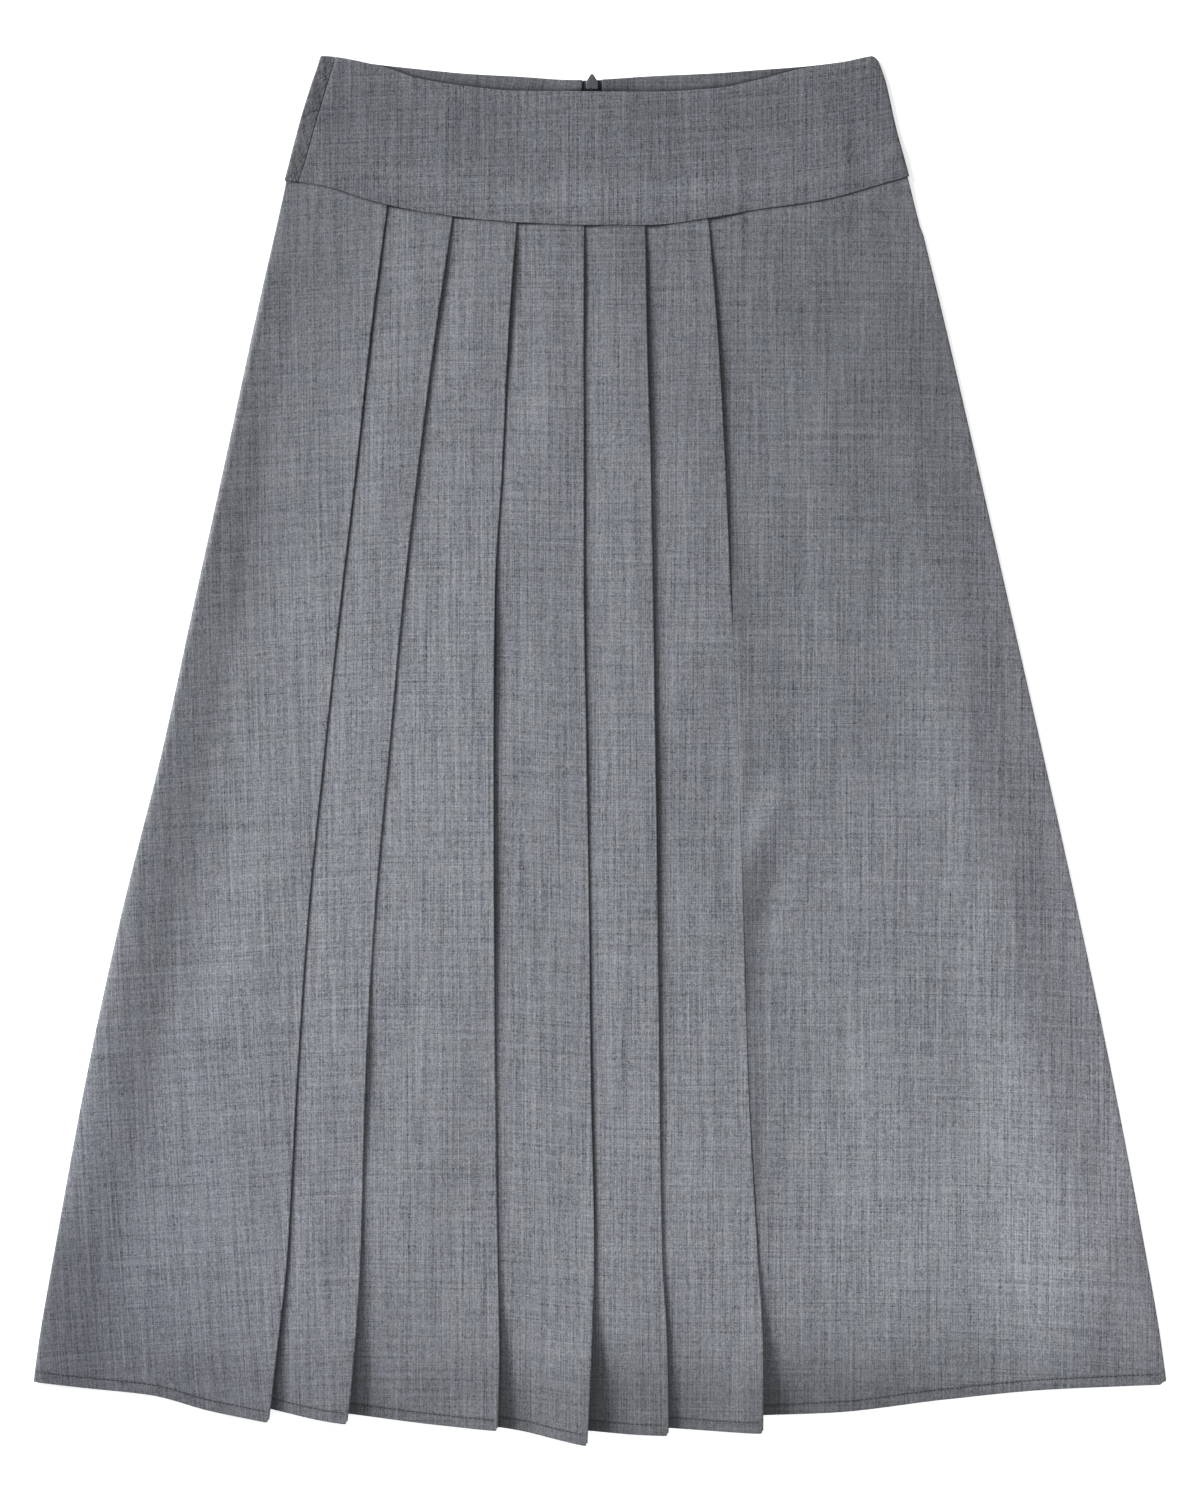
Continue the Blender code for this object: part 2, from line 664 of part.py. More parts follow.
def build():
    """Makes every piece of the skirt under one empty."""
    for old in list(bpy.data.objects):
        bpy.data.objects.remove(old, do_unlink=True)
    skirt = bpy.data.objects.new("skirt", None)
    bpy.context.scene.collection.objects.link(skirt)
    outside = (SUITING, 0.85)
    inside = (SUITING_INSIDE, 0.88)
    cloth_wall("front_panel", front_row, PANEL_DROPS, outside, skirt)
    cloth_wall("front_yoke", front_yoke_row, YOKE_DROPS, outside, skirt)
    for name, side in (("left", -1), ("right", 1)):
        cloth_wall(f"back_yoke_{name}", partial(back_yoke_row, side), YOKE_DROPS, outside, skirt)
        cloth_wall(f"back_panel_{name}", partial(back_panel_row, side), PANEL_DROPS, outside, skirt)
        cloth_wall(f"back_facing_{name}", partial(facing_row, side), FACING_DROPS, inside, skirt)
        cloth_wall(f"zip_tape_{name}", partial(tape_row, side), TAPE_DROPS, (ZIP_TAPE, 0.8), skirt)
    coil_bottom = ZIP_BOTTOM + STOP_LENGTH + GAP
    zip_bar("zip_coil", coil_bottom, SLIDER_BOTTOM - GAP, (ZIP_COIL, 0.5), skirt)
    zip_bar("zip_stop", ZIP_BOTTOM, ZIP_BOTTOM + STOP_LENGTH, (SLIDER_GREY, 0.4, 0.6), skirt)
    zip_slider(skirt)
    zip_pull(skirt)


build()
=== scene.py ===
"""The looks of a pleated suiting skirt that lies flat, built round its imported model.

Shapes are worked out in millimetres, in the frame of the model: X runs across the skirt, +Y from
the hem to the waist and +Z up from the surface that it lies on. Every cloth piece is a thin shell
round a grid of points, on the form of the solid that it stands for.
"""

import logging
import math
from collections.abc import Callable, Iterable, Sequence
from dataclasses import dataclass, field
from enum import Enum

import bmesh
import bpy
import numpy as np
from mathutils import Matrix, Vector


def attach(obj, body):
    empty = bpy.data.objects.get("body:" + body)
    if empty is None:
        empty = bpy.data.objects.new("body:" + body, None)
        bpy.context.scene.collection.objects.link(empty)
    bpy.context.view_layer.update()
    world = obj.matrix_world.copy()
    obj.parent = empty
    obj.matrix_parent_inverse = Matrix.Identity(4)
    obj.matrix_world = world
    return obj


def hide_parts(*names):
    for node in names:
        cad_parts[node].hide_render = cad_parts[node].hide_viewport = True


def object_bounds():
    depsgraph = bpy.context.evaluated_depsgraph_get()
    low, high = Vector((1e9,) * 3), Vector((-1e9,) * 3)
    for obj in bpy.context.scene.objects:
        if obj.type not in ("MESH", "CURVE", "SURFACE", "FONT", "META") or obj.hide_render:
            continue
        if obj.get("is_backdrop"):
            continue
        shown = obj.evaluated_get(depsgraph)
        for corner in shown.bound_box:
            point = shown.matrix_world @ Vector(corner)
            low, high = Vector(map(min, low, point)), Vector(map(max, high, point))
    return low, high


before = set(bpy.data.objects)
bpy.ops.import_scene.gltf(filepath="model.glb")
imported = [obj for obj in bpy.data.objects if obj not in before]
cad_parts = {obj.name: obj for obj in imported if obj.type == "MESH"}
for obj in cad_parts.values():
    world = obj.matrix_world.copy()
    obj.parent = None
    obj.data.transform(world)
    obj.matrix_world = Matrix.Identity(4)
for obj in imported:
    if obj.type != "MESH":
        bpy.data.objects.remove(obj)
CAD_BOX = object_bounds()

MM = 0.001
LOG = logging.getLogger("skirt")
Array = np.ndarray
Object = bpy.types.Object
# A value along the skirt or across it, and a value at each place on it
Line = Callable[[Array], Array]
Surface = Callable[[Array, Array], Array]
# Places across the skirt and along it, numbers in their order, and the corners of a plate
Places = tuple[Array, Array]
Distances = tuple[float, ...]
Pair = tuple[float, float]
Triple = tuple[float, float, float]
Outline = tuple[Pair, ...]

# Layers of cloth, as packed
CLOTH = 1.0
GAP = 0.3
LAYER = CLOTH + GAP
EASE = 0.2

# Seams and pleats, as packed
TUCK = 8.0
FRONT_STRIP = 8.6
SIDE_WRAP = 9.0
FOLD_FLAT = 5.0
SEAM_SLOPE = 20.0
SEAM_MARGIN = 3.0
FACING_DEPTH = 60.0
FACING_SETBACK = 6.6
FACING_SIDE_SETBACK = 3.0
YOKE_RISE = 28.0
BACK_FLAT_OVER_PULL = 4.0
FRONT_FLAT_OVER_PULL = 16.0
FRONT_SLOPE = 45.0
FRONT_SLOPE_BELOW_PULL = 24.0
FRONT_SLOPE_BELOW_TAPE = 100.0
FACING_FLAT_OVER_TAPE = 15.0
FACING_SLOPE = 12.0
PLEATS_MARGIN = 10.0
PLEATS_SLOPE = 30.0
PLEAT_DEPTH_TOP = 20.0
PLEAT_DEPTH_HEM = 30.0
PLEAT_TOP_Y = 372.0
PLEAT_HEM_Y = -450.0

# The zip, as packed
BACK_CENTRE = -5.3
ZIP_BOTTOM = 236.0
TAPE_HALF = 13.0
TAPE_SETBACK = 1.0
TAPE_NARROWS = (431.0, 434.5)
COIL_HALF = 1.8
STOP_LENGTH = 4.0
SLIDER_WIDTH = 8.0
SLIDER_BOTTOM = 435.5
SLIDER_SHOULDER = 439.5
SLIDER_TIP = 445.4
SLIDER_TIP_HALF = 0.8
SLIDER_HEIGHT = 2.6
BAIL_WIDTH = 0.8
BAIL_BAR = 0.4
BAIL_BOTTOM = 0.1
BAIL_HALF_LENGTH = 2.4
BAIL_LEG = 0.6
PULL_THICKNESS = 0.6
PULL_WIDTH = 5.0
PULL_LENGTH = 22.0
PULL_TAPER = 0.5
PULL_BAR = 0.6
PULL_WINDOW = 4.3
PULL_WINDOW_HALF = 0.75
PULL_AXIS_Y = 440.5
PULL_AXIS_Z = BAIL_BOTTOM + BAIL_BAR + GAP + PULL_THICKNESS / 2
PULL_END = PULL_AXIS_Y - PULL_LENGTH
PULL_LIFT = PULL_AXIS_Z + PULL_THICKNESS / 2 + GAP
PULL_SLOPE = 16.0
SLIT_HALF = GAP / 2
SLIT_HALF_AT_BAIL = BAIL_WIDTH / 2 + GAP
SLIT_WIDENS = (425.0, 433.0)

# The faces of the front, each named for the pleat at its left.
FACES = ("left", "pleat_1", "pleat_2", "pleat_3", "pleat_4", "pleat_5", "pleat_6")

# The skirt across, at ten heights: y, the left side fold, the edges of the six pleats and the right fold.
SECTIONS = (
    (-455, -378, -219.5, -167.5, -67.3, -8.2, 45.3, 107.4, 378),
    (-395, -370.8, -212.5, -161.4, -66.2, -5.5, 44.5, 107.4, 370.8),
    (-330, -359.7, -205.7, -157.5, -67.4, -3.8, 41.1, 103.8, 359.7),
    (-220, -339.6, -199.7, -154.5, -68.8, -5.8, 39.3, 97.9, 338.9),
    (-110, -316, -192.3, -148.5, -69.7, -7.1, 38.1, 94.7, 316),
    (0, -288.6, -181.3, -138.8, -70, -8.7, 36.6, 91.7, 291.7),
    (100, -267, -170.5, -129.6, -69.2, -10.4, 35.1, 86.5, 269),
    (190, -247.3, -160.1, -119.3, -64.1, -10.5, 33.5, 82.5, 248.6),
    (280, -228.1, -150.4, -107.6, -59.9, -10.6, 30.9, 77.3, 227.8),
    (372, -207.5, -138.3, -94, -52.7, -10, 29.8, 69.7, 205.5),
)

# Where each face of the front meets its hem, at every quarter of its width from the left.
HEM_QUARTERS = (0.0, 0.25, 0.5, 0.75, 1.0)
HEMS = {
    "left": (-416.8, -421.4, -425.7, -436, -443.3),
    "pleat_1": (-429, -432.5, -437.2, -441.3, -443.9),
    "pleat_2": (-434.5, -438.1, -442.3, -445.9, -448.1),
    "pleat_3": (-442.5, -445.5, -448.9, -453.7, -457.9),
    "pleat_4": (-446, -448, -450, -451.4, -451.9),
    "pleat_5": (-444.5, -446.6, -448.2, -449.3, -449.6),
    "pleat_6": (-439.5, -437.2, -428.6, -421.6, -418.6),
}

# The curves across the yoke: x, the waist in front, the waist behind and the seam at its bottom.
CURVES = (
    (-208, 457.7, 457.5, 375.5),
    (-184, 457.7, 457.5, 372.3),
    (-148, 452, 452.3, 361.3),
    (-118, 443.4, 449, 354.9),
    (-85, 438.6, 445.9, 350.4),
    (-55, 436, 444.3, 347.8),
    (-10, 435, 441.6, 345.8),
    (30, 435.3, 444.3, 345.8),
    (75, 437.7, 446.4, 351.1),
    (102, 442.4, 448.4, 356),
    (134, 449.8, 450.8, 360.5),
    (158, 453.2, 453.6, 365.1),
    (182, 457.6, 457.4, 372.1),
    (204, 457.6, 457.4, 378.3),
)
# The hem of the back: x and its height.
BACK_HEM = (
    (-374, -415.5),
    (-300, -420),
    (-200, -428),
    (0, -434),
    (110, -434),
    (200, -427),
    (300, -417.5),
    (374, -417),
)
# The side folds of the yoke: y, the left one and the right one.
YOKE_SIDES = (
    (345, -216.8, 212.5),
    (379, -207.3, 203.9),
    (408, -199.8, 196),
    (422, -195.9, 192.8),
    (440, -190.2, 188.8),
    (450, -186.7, 185.4),
    (454.4, -185.4, 183.6),
    (456.6, -184.7, 181.8),
    (457.7, -184.2, 179.4),
)
YOKE_BOTTOM = YOKE_SIDES[0][0]

# How far each pleat's folded edge stands up off the cloth beside it, and how far the cloth beside
# it swells up to meet it: y and the six pleats.
STANDS = (
    (-450, 4.5, 8, 8, 10, 4, 10),
    (-410, 2.4, 5.5, 4.4, 8.2, 2, 6.8),
    (-380, 1.4, 3.4, 2.4, 3.4, 1.2, 2.4),
    (-350, 0.7, 1.9, 0.8, 1.3, 0.7, 0.7),
    (-290, 0.2, 0.5, 0.2, 0.6, 0.5, 0.2),
    (-215, 0, 1.6, 0.2, 0.3, 0.9, 0.2),
    (-150, 0, 0.4, 0.8, 0.1, 1.1, 0.3),
    (-112, 0, 0.2, 1.3, 0.1, 1.2, 0.3),
    (-80, 0, 0.2, 1.6, 0.1, 1.2, 0.1),
    (-48, 0, 0.2, 1.4, 0.2, 1.3, 0.1),
    (-20, 0, 0.2, 1.2, 0.2, 1.3, 0),
    (75, 0, 0.3, 1.7, 0.2, 1.2, 0),
    (110, 0, 0.4, 1.2, 0.2, 1.2, 0.1),
    (150, 0.1, 0.5, 0.3, 0.2, 1.2, 0.7),
    (230, 0.2, 0.5, 0.4, 0.3, 1.4, 1.5),
    (310, 0.3, 0.9, 1.6, 0.8, 1, 1.1),
    (345, 0, 0, 0, 0, 0, 0),
)
SWELLS = (
    (-450, 0, 0, 0, 0, 0, 0),
    (-380, 0.3, 0.1, 0.1, 0, 0.1, 0),
    (-300, 0.3, 0.3, 0.3, 0.1, 0.2, 0.8),
    (-215, 0.3, 0, 0.2, 0.1, 0.1, 1.1),
    (-150, 0.3, 0.3, 0, 0.1, 0.1, 1.2),
    (-112, 0.3, 0.4, 0, 0.1, 0, 1.3),
    (-82, 0.3, 0.4, 0, 0.1, 0, 1.3),
    (-45, 0.3, 0.4, 0, 0.1, 0, 1.4),
    (-10, 0.3, 0.4, 0, 0.1, 0, 1.4),
    (60, 0.3, 0.4, 0, 0.1, 0, 1.3),
    (110, 0.3, 0.4, 0.4, 0.1, 0, 0.8),
    (200, 0.3, 0.3, 0.6, 0.2, 0.1, 0.3),
    (280, 0.3, 0.1, 0.2, 0.2, 0.1, 0.3),
    (345, 0.3, 0.2, 0.2, 0.3, 0.2, 0.3),
)
# The cloth rises to a pleat's edge over this reach, and the layer under it settles past the edge
FLAP_REACH = 40.0
FLAP_SETTLES = 6.0
# Where the swell beside an edge rises and where it falls, from the edge
SWELL_STARTS = (-0.1, 0.9)
SWELL_ENDS = (8.0, 58.0)
# A swell as high as the edge is pressed close against it, so that no crease shows
SWELL_CLOSES = (0.8, 1.3)
SWELL_PRESS = (0.4, 0.4)
# The rounder edge of a fold, up to where it fades below the yoke
EDGE_ROLL = 0.15
EDGE_ROLL_WIDTH = 3.0
EDGE_ROLL_FADES = (300.0, 345.0)

# The cloth as it is seen: thinner than its packed wall, and doubled along the hem.
SHEET = 0.45
HEM_SHEET = 0.56
PLEAT_LAYER = 0.62
PLEAT_CLEAR = 1.2
FIRST_CLIMB = 60.0
YOKE_CLEAR = 0.9
HEM_STITCH = 7.0
NEAR_HEM = (0.0, 1.2, 2.6, 4.2, 5.6, 6.4, HEM_STITCH, 7.6, 8.6, 11.0, 15.0)
FOLD_POINTS = 7
# The lines of points beside an edge: how far in each lies, and its share of the thickness
EDGE_ROUND = ((0.0, 0.0), (0.07, 0.7), (0.22, 1.0))
# The front's waist edge sags by this share of how far it lies below the back's
WAIST_SAG = 0.16
# How far the seam beside the left side fold bows out, between which heights and over what slope
STRIP_BOW = 2.3
STRIP_BOW_AT = (405.0, 430.0, 60.0)
# The radius of the corner where each face of the front ends at its hem
CORNER_ROUND = 2.2
# The map of the flat cloth and the tone that each piece of cloth carries: its painted light and shade, and
# its tint
GRAIN_MAP = "Grain"
TONE = "Tone"

# The yarns of the suiting: the weight of each kind in its tone, how wide one yarn or bundle is in
# metres, how many times it slubs to the metre, and its seed.
WARP_YARNS = (
    (1.62, 0.00055, 15.0, 1.0),
    (1.12, 0.00055, 290.0, 2.0),
    (0.20, 0.0016, 11.0, 3.0),
    (0.05, 0.004, 6.0, 4.0),
)
WEFT_YARNS = (
    (1, 0.0006, 15.0, 5.0),
    (0.8, 0.0006, 300.0, 6.0),
    (0.14, 0.0017, 12.0, 7.0),
    (0.04, 0.005, 6.0, 8.0),
)
# Where two yarns cross, each fleck of wool is lighter or darker
FLECK = 0.56
FLECK_SIZE = (0.00055, 0.0006, 1.0)
# Broader unevenness, and cool places: waves to the metre across and along, and the seed
MOTTLE = (0.95, 1250.0, 1050.0, 9.0)
COOL_PLACES = (110.0, 55.0, 21.0)
COOL_RANGE = (-0.12, 0.2)
# How far the yarns' crossings show in the tone, how rough the cloth is, and more so where it is light,
# and how high its light yarns and its crossings stand
CROSSING = 0.07
WEAVE_ROUGHNESS = (0.25, 0.82)
WEAVE_HEIGHT = (0.9, 0.3)
YARN_PITCH = 0.0005
FINE_STEP = 0.00002
# From one yarn to the next the noise moves so far that they have nothing in common, and it is turned
# so that it never runs along its own lattice, which would show as blocks.
YARN_STRIDE = 3.7183
OBLIQUE = (0.7, 0.55, 0.85)
COOL_BLOOM = (0.95, 0.985, 1.10, 1.0)

# How far the cloth's red, green and blue follow the greys of its yarns: blue the least, so the dark
# yarns are the cooler ones.
GREY_SPREAD = (1.03, 1.0, 0.965)
GRAIN_LENGTH = 795.0


@dataclass(frozen=True)
class Crease:
    """A soft ridge, or a trough if its height is below 0, from one place to another."""

    x_start: float
    y_start: float
    x_end: float
    y_end: float
    half_width: float
    height: float
    taper: float = 0.35


FRONT_CREASES = (
    # The springy roll along each side fold
    Crease(-226, 350, -364, -440, 40, 4.4, 0.07),
    Crease(186, 340, 322, -440, 46, 3.0, 0.08),
    # The swell across the last pleat, and the hollow below it
    Crease(94, -88, 122, -18, 13, 2.4),
    Crease(124, -56, 108, -130, 12, -2.2, 0.3),
    # The left panel
    Crease(-214, 110, -238, -60, 38, 1.1),
    Crease(-262, -120, -300, -330, 42, 1.3),
    Crease(-236, -10, -262, -190, 26, -0.8),
    # The middle
    Crease(-40, 260, -36, 60, 30, 0.9),
    Crease(-110, -180, -122, -380, 34, 1.0),
    Crease(14, 60, 18, -190, 24, 0.7),
    # The right panel
    Crease(142, 300, 178, 60, 40, 1.2),
    Crease(168, -90, 214, -330, 52, 1.5),
    Crease(222, -40, 262, -260, 34, -0.9),
    Crease(334, -300, 358, -400, 26, 1.2),
)


@dataclass(frozen=True)
class Patch:
    """A soft patch where the cloth is painted a little lighter, or darker if its change is below 0: painted
    light and shade, or a tint.
    """

    x: float
    y: float
    half_width: float
    half_length: float
    change: float


def patches(*rows: Distances) -> tuple[Patch, ...]:
    """The patches of a table: where they are, how far they reach across and along, and their change."""
    return tuple(Patch(*row) for row in rows)


# The soft patches of painted light and shade on the front, and those on the yoke
FRONT_PAINTED_LIGHT = patches(
    (60, 330, 320, 90, -0.1),
    (60, 275, 240, 80, -0.08),
    (185, 230, 170, 270, -0.19),
    (-210, 330, 90, 130, -0.08),
    (-245, 120, 60, 160, -0.06),
    (270, 60, 70, 260, -0.04),
    (-150, 10, 115, 320, 0.19),
    (-255, -160, 80, 140, 0.11),
    (-315, -240, 50, 110, -0.09),
    (60, 40, 50, 260, -0.06),
    (-290, -60, 60, 180, -0.08),
    (180, -240, 80, 120, 0.07),
    (300, -350, 140, 190, 0.29),
    (-345, -340, 110, 110, -0.08),
    (-368, -360, 50, 90, -0.12),
    (-240, -370, 120, 90, 0.05),
    (75, -440, 170, 65, -0.13),
    (-198, 345, 60, 90, -0.12),
    (-178, 250, 70, 230, -0.08),
    (-238, 110, 50, 200, -0.08),
    (178, 270, 70, 330, -0.09),
    (-80, 60, 80, 210, 0.05),
    (-190, -140, 80, 160, 0.05),
    (265, -180, 80, 160, 0.08),
    (178, -370, 60, 60, 0.09),
    (119, -425, 50, 50, -0.08),
    (-358, -330, 40, 80, -0.12),
    (112, 60, 30, 160, -0.1),
    (103, -92, 10, 36, -0.16),
    (98.5, -7, 9, 34, -0.18),
    (59, 224, 60, 80, -0.12),
    (110, -34, 16, 24, 0.1),
    (121, -41, 13, 24, 0.17),
    (118, -62, 10, 19, 0.24),
    (-297, -168, 40, 90, -0.11),
    (-356, -330, 40, 60, -0.1),
    (356, -330, 40, 70, -0.15),
    (297, -376, 60, 60, 0.09),
    (178, -310, 60, 110, 0.09),
    (40, 300, 300, 170, -0.03),
    (0, -190, 420, 240, 0.04),
    (0, -424, 330, 40, -0.05),
    (-205, 175, 90, 130, -0.09),
    (178, 15, 60, 80, -0.09),
    (62, -55, 45, 90, -0.07),
    (-297, -120, 50, 160, -0.08),
    (-178, -330, 40, 50, -0.08),
    (59, -376, 40, 50, -0.08),
    (356, -318, 40, 50, -0.08),
    (350, -385, 50, 40, 0.12),
    (297, -238, 50, 60, 0.07),
    (-150, -424, 70, 30, 0.08),
    (178, -424, 50, 35, -0.1),
)
YOKE_PAINTED_LIGHT = patches(
    (0, 470, 420, 110, -0.1),
    (0, 380, 160, 90, 0.06),
    (205, 410, 110, 120, -0.16),
    (-195, 420, 90, 120, -0.18),
    (-62, 409, 80, 70, -0.12),
    (85, 410, 100, 70, -0.13),
)
# Where the cloth is a little bluer, and where it is rosier: red, green and blue at their most
BLUER = patches((-390, -400, 330, 420, 1.0))
BLUE_TINT = (-0.01, -0.01, 0.05)
ROSIER = (
    Crease(182, 470, 236, 240, 55, 1.0, 0.1),
    Crease(230, 280, 375, -440, 50, 1.0, 0.06),
    Crease(-236, 260, -256, 130, 40, 0.8, 0.3),
)
ROSE_TINT = (0.02, -0.013, 0.004)
# Painted shade: the front is darker towards its hem, from the second height above it down to the first
PAINTED_HEM_SHADE = -0.34
PAINTED_HEM_SHADE_REACH = (-10.0, 120.0)
# Painted shade: how dark the narrow crease under the edge of each pleat is painted, and the soft painted
# shade beside it
PAINTED_CREASE_LINES = (
    (-450, 0.6, 0.5, 0.52, 0.55, 0.44, 0.42),
    (-410, 0.6, 0.46, 0.45, 0.52, 0.36, 0.22),
    (-360, 0.6, 0.4, 0.38, 0.5, 0.26, 0.15),
    (-290, 0.66, 0.38, 0.36, 0.62, 0.36, 0.06),
    (-180, 0.66, 0.38, 0.42, 0.68, 0.42, 0.06),
    (-110, 0.64, 0.42, 0.5, 0.7, 0.44, 0.08),
    (0, 0.66, 0.46, 0.68, 0.7, 0.58, 0.3),
    (75, 0.66, 0.48, 0.72, 0.68, 0.58, 0.02),
    (140, 0.66, 0.46, 0.6, 0.68, 0.5, 0.1),
    (230, 0.66, 0.5, 0.58, 0.64, 0.44, 0.34),
    (345, 0.72, 0.54, 0.6, 0.62, 0.46, 0.3),
)
PAINTED_CREASE_SHADES = (
    (-450, 0, 0, 0, 0, 0.05, 0),
    (-360, 0.03, 0, 0.05, 0, 0.07, 0.12),
    (-300, 0.04, 0.05, 0.14, 0.18, 0.06, 0.34),
    (-240, 0.06, 0.06, 0.12, 0.14, 0.03, 0.4),
    (-180, 0.02, 0.03, 0.18, 0.18, 0.16, 0.41),
    (-135, 0, 0, 0.23, 0.13, 0.15, 0.54),
    (-115, 0, 0, 0.26, 0.1, 0.14, 0.5),
    (-95, 0, 0, 0.19, 0.11, 0.2, 0.48),
    (-75, 0, 0, 0.12, 0.12, 0.26, 0.32),
    (-45, 0, 0, 0.08, 0.12, 0.26, 0.06),
    (10, 0.02, 0.02, 0.05, 0.14, 0.16, 0.09),
    (60, 0.05, 0.04, 0.08, 0.12, 0.05, 0.1),
    (90, 0.06, 0, 0.05, 0.13, 0.03, 0.28),
    (110, 0.06, 0, 0.03, 0.14, 0.02, 0.42),
    (130, 0.06, 0, 0.02, 0.13, 0.02, 0.5),
    (150, 0.06, 0, 0, 0.12, 0.02, 0.4),
    (180, 0.04, 0, 0, 0.08, 0.02, 0.18),
    (200, 0.03, 0, 0, 0.04, 0.03, 0.12),
    (260, 0.05, 0, 0, 0, 0.14, 0.08),
    (345, 0.05, 0, 0, 0.03, 0.03, 0.06),
)
# The soft painted shade's width, and that of the pleats beside which it is wider
SHADE_WIDTH = 7.5
WIDE_SHADES = {"pleat_6": 10.0}
# Painted shade in the narrow crease under each pleat's edge
# The narrow crease's width where the edge lies flat, how much it grows with the stand and the most
# it may be, and the swell of the cloth beside it, over its stand, at which it fades and is gone
CREASE_WIDTH = (1.2, 0.85, 9.0)
CREASE_FADES = (0.6, 1.1)
# How dark and how wide the painted shadow below the yoke's seam and the line of the hem's stitches are, and
# the turned hem
SEAM_PAINTED_SHADOW = 0.6
SEAM_PAINTED_SHADOW_WIDTH = 1.4
STITCH_TONE = 0.35
STITCH_TONE_WIDTH = 0.8
TURN_UP_TONE = 0.12
# The facing has a painted shadow just above the front's waist: how much and over what height
WAIST_PAINTED_SHADOWS = ((0.55, 1.7), (0.22, 5.0))
# The strip beside the left side fold is darker than the yoke, with painted light and shade along its ripples
STRIP_TONE = 0.84
RIPPLE_PAINTED_LIGHT_AND_SHADE = 0.12
# The dark line of the seam beside that strip, up to where it fades
STRIP_SEAM_TONE = (0.42, 0.9)
STRIP_SEAM_FADES = (440.0, 452.0)
# The left facing is darker beside the zip: how much and over what width
SLOT_TONE = (0.3, 7.0)
BACK_CREASES = (
    Crease(-150, 250, -205, -120, 60, 0.7),
    Crease(-90, -140, -118, -410, 55, 0.8),
    Crease(70, 180, 96, -150, 50, 0.6),
    Crease(200, 60, 262, -330, 60, 0.8),
    Crease(-270, -230, -318, -410, 36, 0.5),
)
# How far the front stands off the back, and how it comes down to it at its sides, yoke and hem
LOFT = 3.4
LOFT_LEFT = (30.0, 105.0)
LOFT_RIGHT = (0.0, 62.0)
LOFT_TOP = 110.0
YOKE_LOFT_FROM = 330.0
HEM_FALL = 44.0
HEM_DROP = 14.0
# The yoke is uneven between these places, and less so over the slope beside them
YOKE_UNEVEN_WITHIN = (-150.0, 150.0, 40.0)

# How far the threads of each face are turned, in degrees anticlockwise: the weft at its top and at
# its hem, and the warp in the same way. The last two are how the weft's turn changes per 100 mm
# across the face, and how that changes.
FACE_TURNS = {
    "left": (4.5, 4.5, 0, 4, 0, 0, (-180, 345)),
    "pleat_1": (4, 3, -1, 1, 0, 0, (-170, 345)),
    "pleat_2": (0.5, 0, 0, 0, 0, 0, (-120, 345)),
    "pleat_3": (-1, -6, 0, 0, 0, 0, (-40, 345)),
    "pleat_4": (0, -1, 0, 0, 0, 0, (10, 345)),
    "pleat_5": (0, 0, 0, 0, 0, 0, (60, 345)),
    "pleat_6": (0, 0, 0, 0, 0, -1, (110, 345)),
}
YOKE_MIDDLE = 400.0
YOKE_TURNS = (2.6, 2.6, 0.0, 0.0, 2.2, 1.1, (0.0, YOKE_MIDDLE))
TURN_REACH = 100.0

# How many times a point is moved along its line until it lies at its place between two edges
SETTLE_STEPS = 8

# Degrees from which an edge stays sharp, or is rounded off, and how the edges of a plate are rounded
SOLID_SHARP = 38.0
PLATE_SHARP = 45.0
PLATE_ROUNDED = 30.0
PLATE_EDGE = {"segments": 3, "profile": 0.6, "affect": "EDGES", "clamp_overlap": True}
TINY = 1e-9


def ramp(value: Array, start: float, end: float) -> Array:
    """Rises smoothly from 0 at start to 1 at end."""
    share = np.clip((value - start) / (end - start), 0.0, 1.0)
    return share * share * (3.0 - 2.0 * share)


def hump(value: Array, low: float, high: float, slope: float) -> Array:
    """Is 1 between low and high, and falls smoothly to 0 over slope on either side."""
    return ramp(value, low - slope, low) * (1.0 - ramp(value, high, high + slope))


def smooth_line(xs: Sequence[float], ys: Sequence[float]) -> Line:
    """A smooth line through the points of a table, with no overshoot between them.

    Args:
        xs: Where the points are, rising.
        ys: The value at each.

    Returns:
        A function of x, level before the first point and after the last.
    """
    x, y = np.array(xs, float), np.array(ys, float)
    step, rise = np.diff(x), np.diff(y) / np.diff(x)
    slopes = np.zeros_like(y)
    same = rise[:-1] * rise[1:] > 0.0
    shares = step[:-1] / np.where(same, rise[:-1], 1.0) + step[1:] / np.where(same, rise[1:], 1.0)
    slopes[1:-1] = np.where(same, (step[:-1] + step[1:]) / shares, 0.0)
    slopes[0], slopes[-1] = rise[0], rise[-1]

    def line(value: Array) -> Array:
        """Reads the smooth line.

        Args:
            value: Where it is read.

        Returns:
            Its value there.
        """
        at = np.clip(value, x[0], x[-1])
        i = np.clip(np.searchsorted(x, at, side="right") - 1, 0, len(x) - 2)
        t = (at - x[i]) / step[i]
        first = (1.0 + 2.0 * t) * (1.0 - t) ** 2 * y[i] + t * (1.0 - t) ** 2 * step[i] * slopes[i]
        return first + t * t * (3.0 - 2.0 * t) * y[i + 1] + t * t * (t - 1.0) * step[i] * slopes[i + 1]

    return line


def table_lines(table: tuple[Distances, ...]) -> list[Line]:
    """The smooth lines of a table: each of its other columns, as a function of its first one."""
    first, *others = zip(*table)
    return [smooth_line(first, other) for other in others]


def offset(line: Line, by: float) -> Line:
    """The line moved to the right."""
    return lambda y: line(y) + by


def blend(first: Line, second: Line, share: float) -> Line:
    """A line that lies between two others."""
    return lambda y: first(y) + (second(y) - first(y)) * share


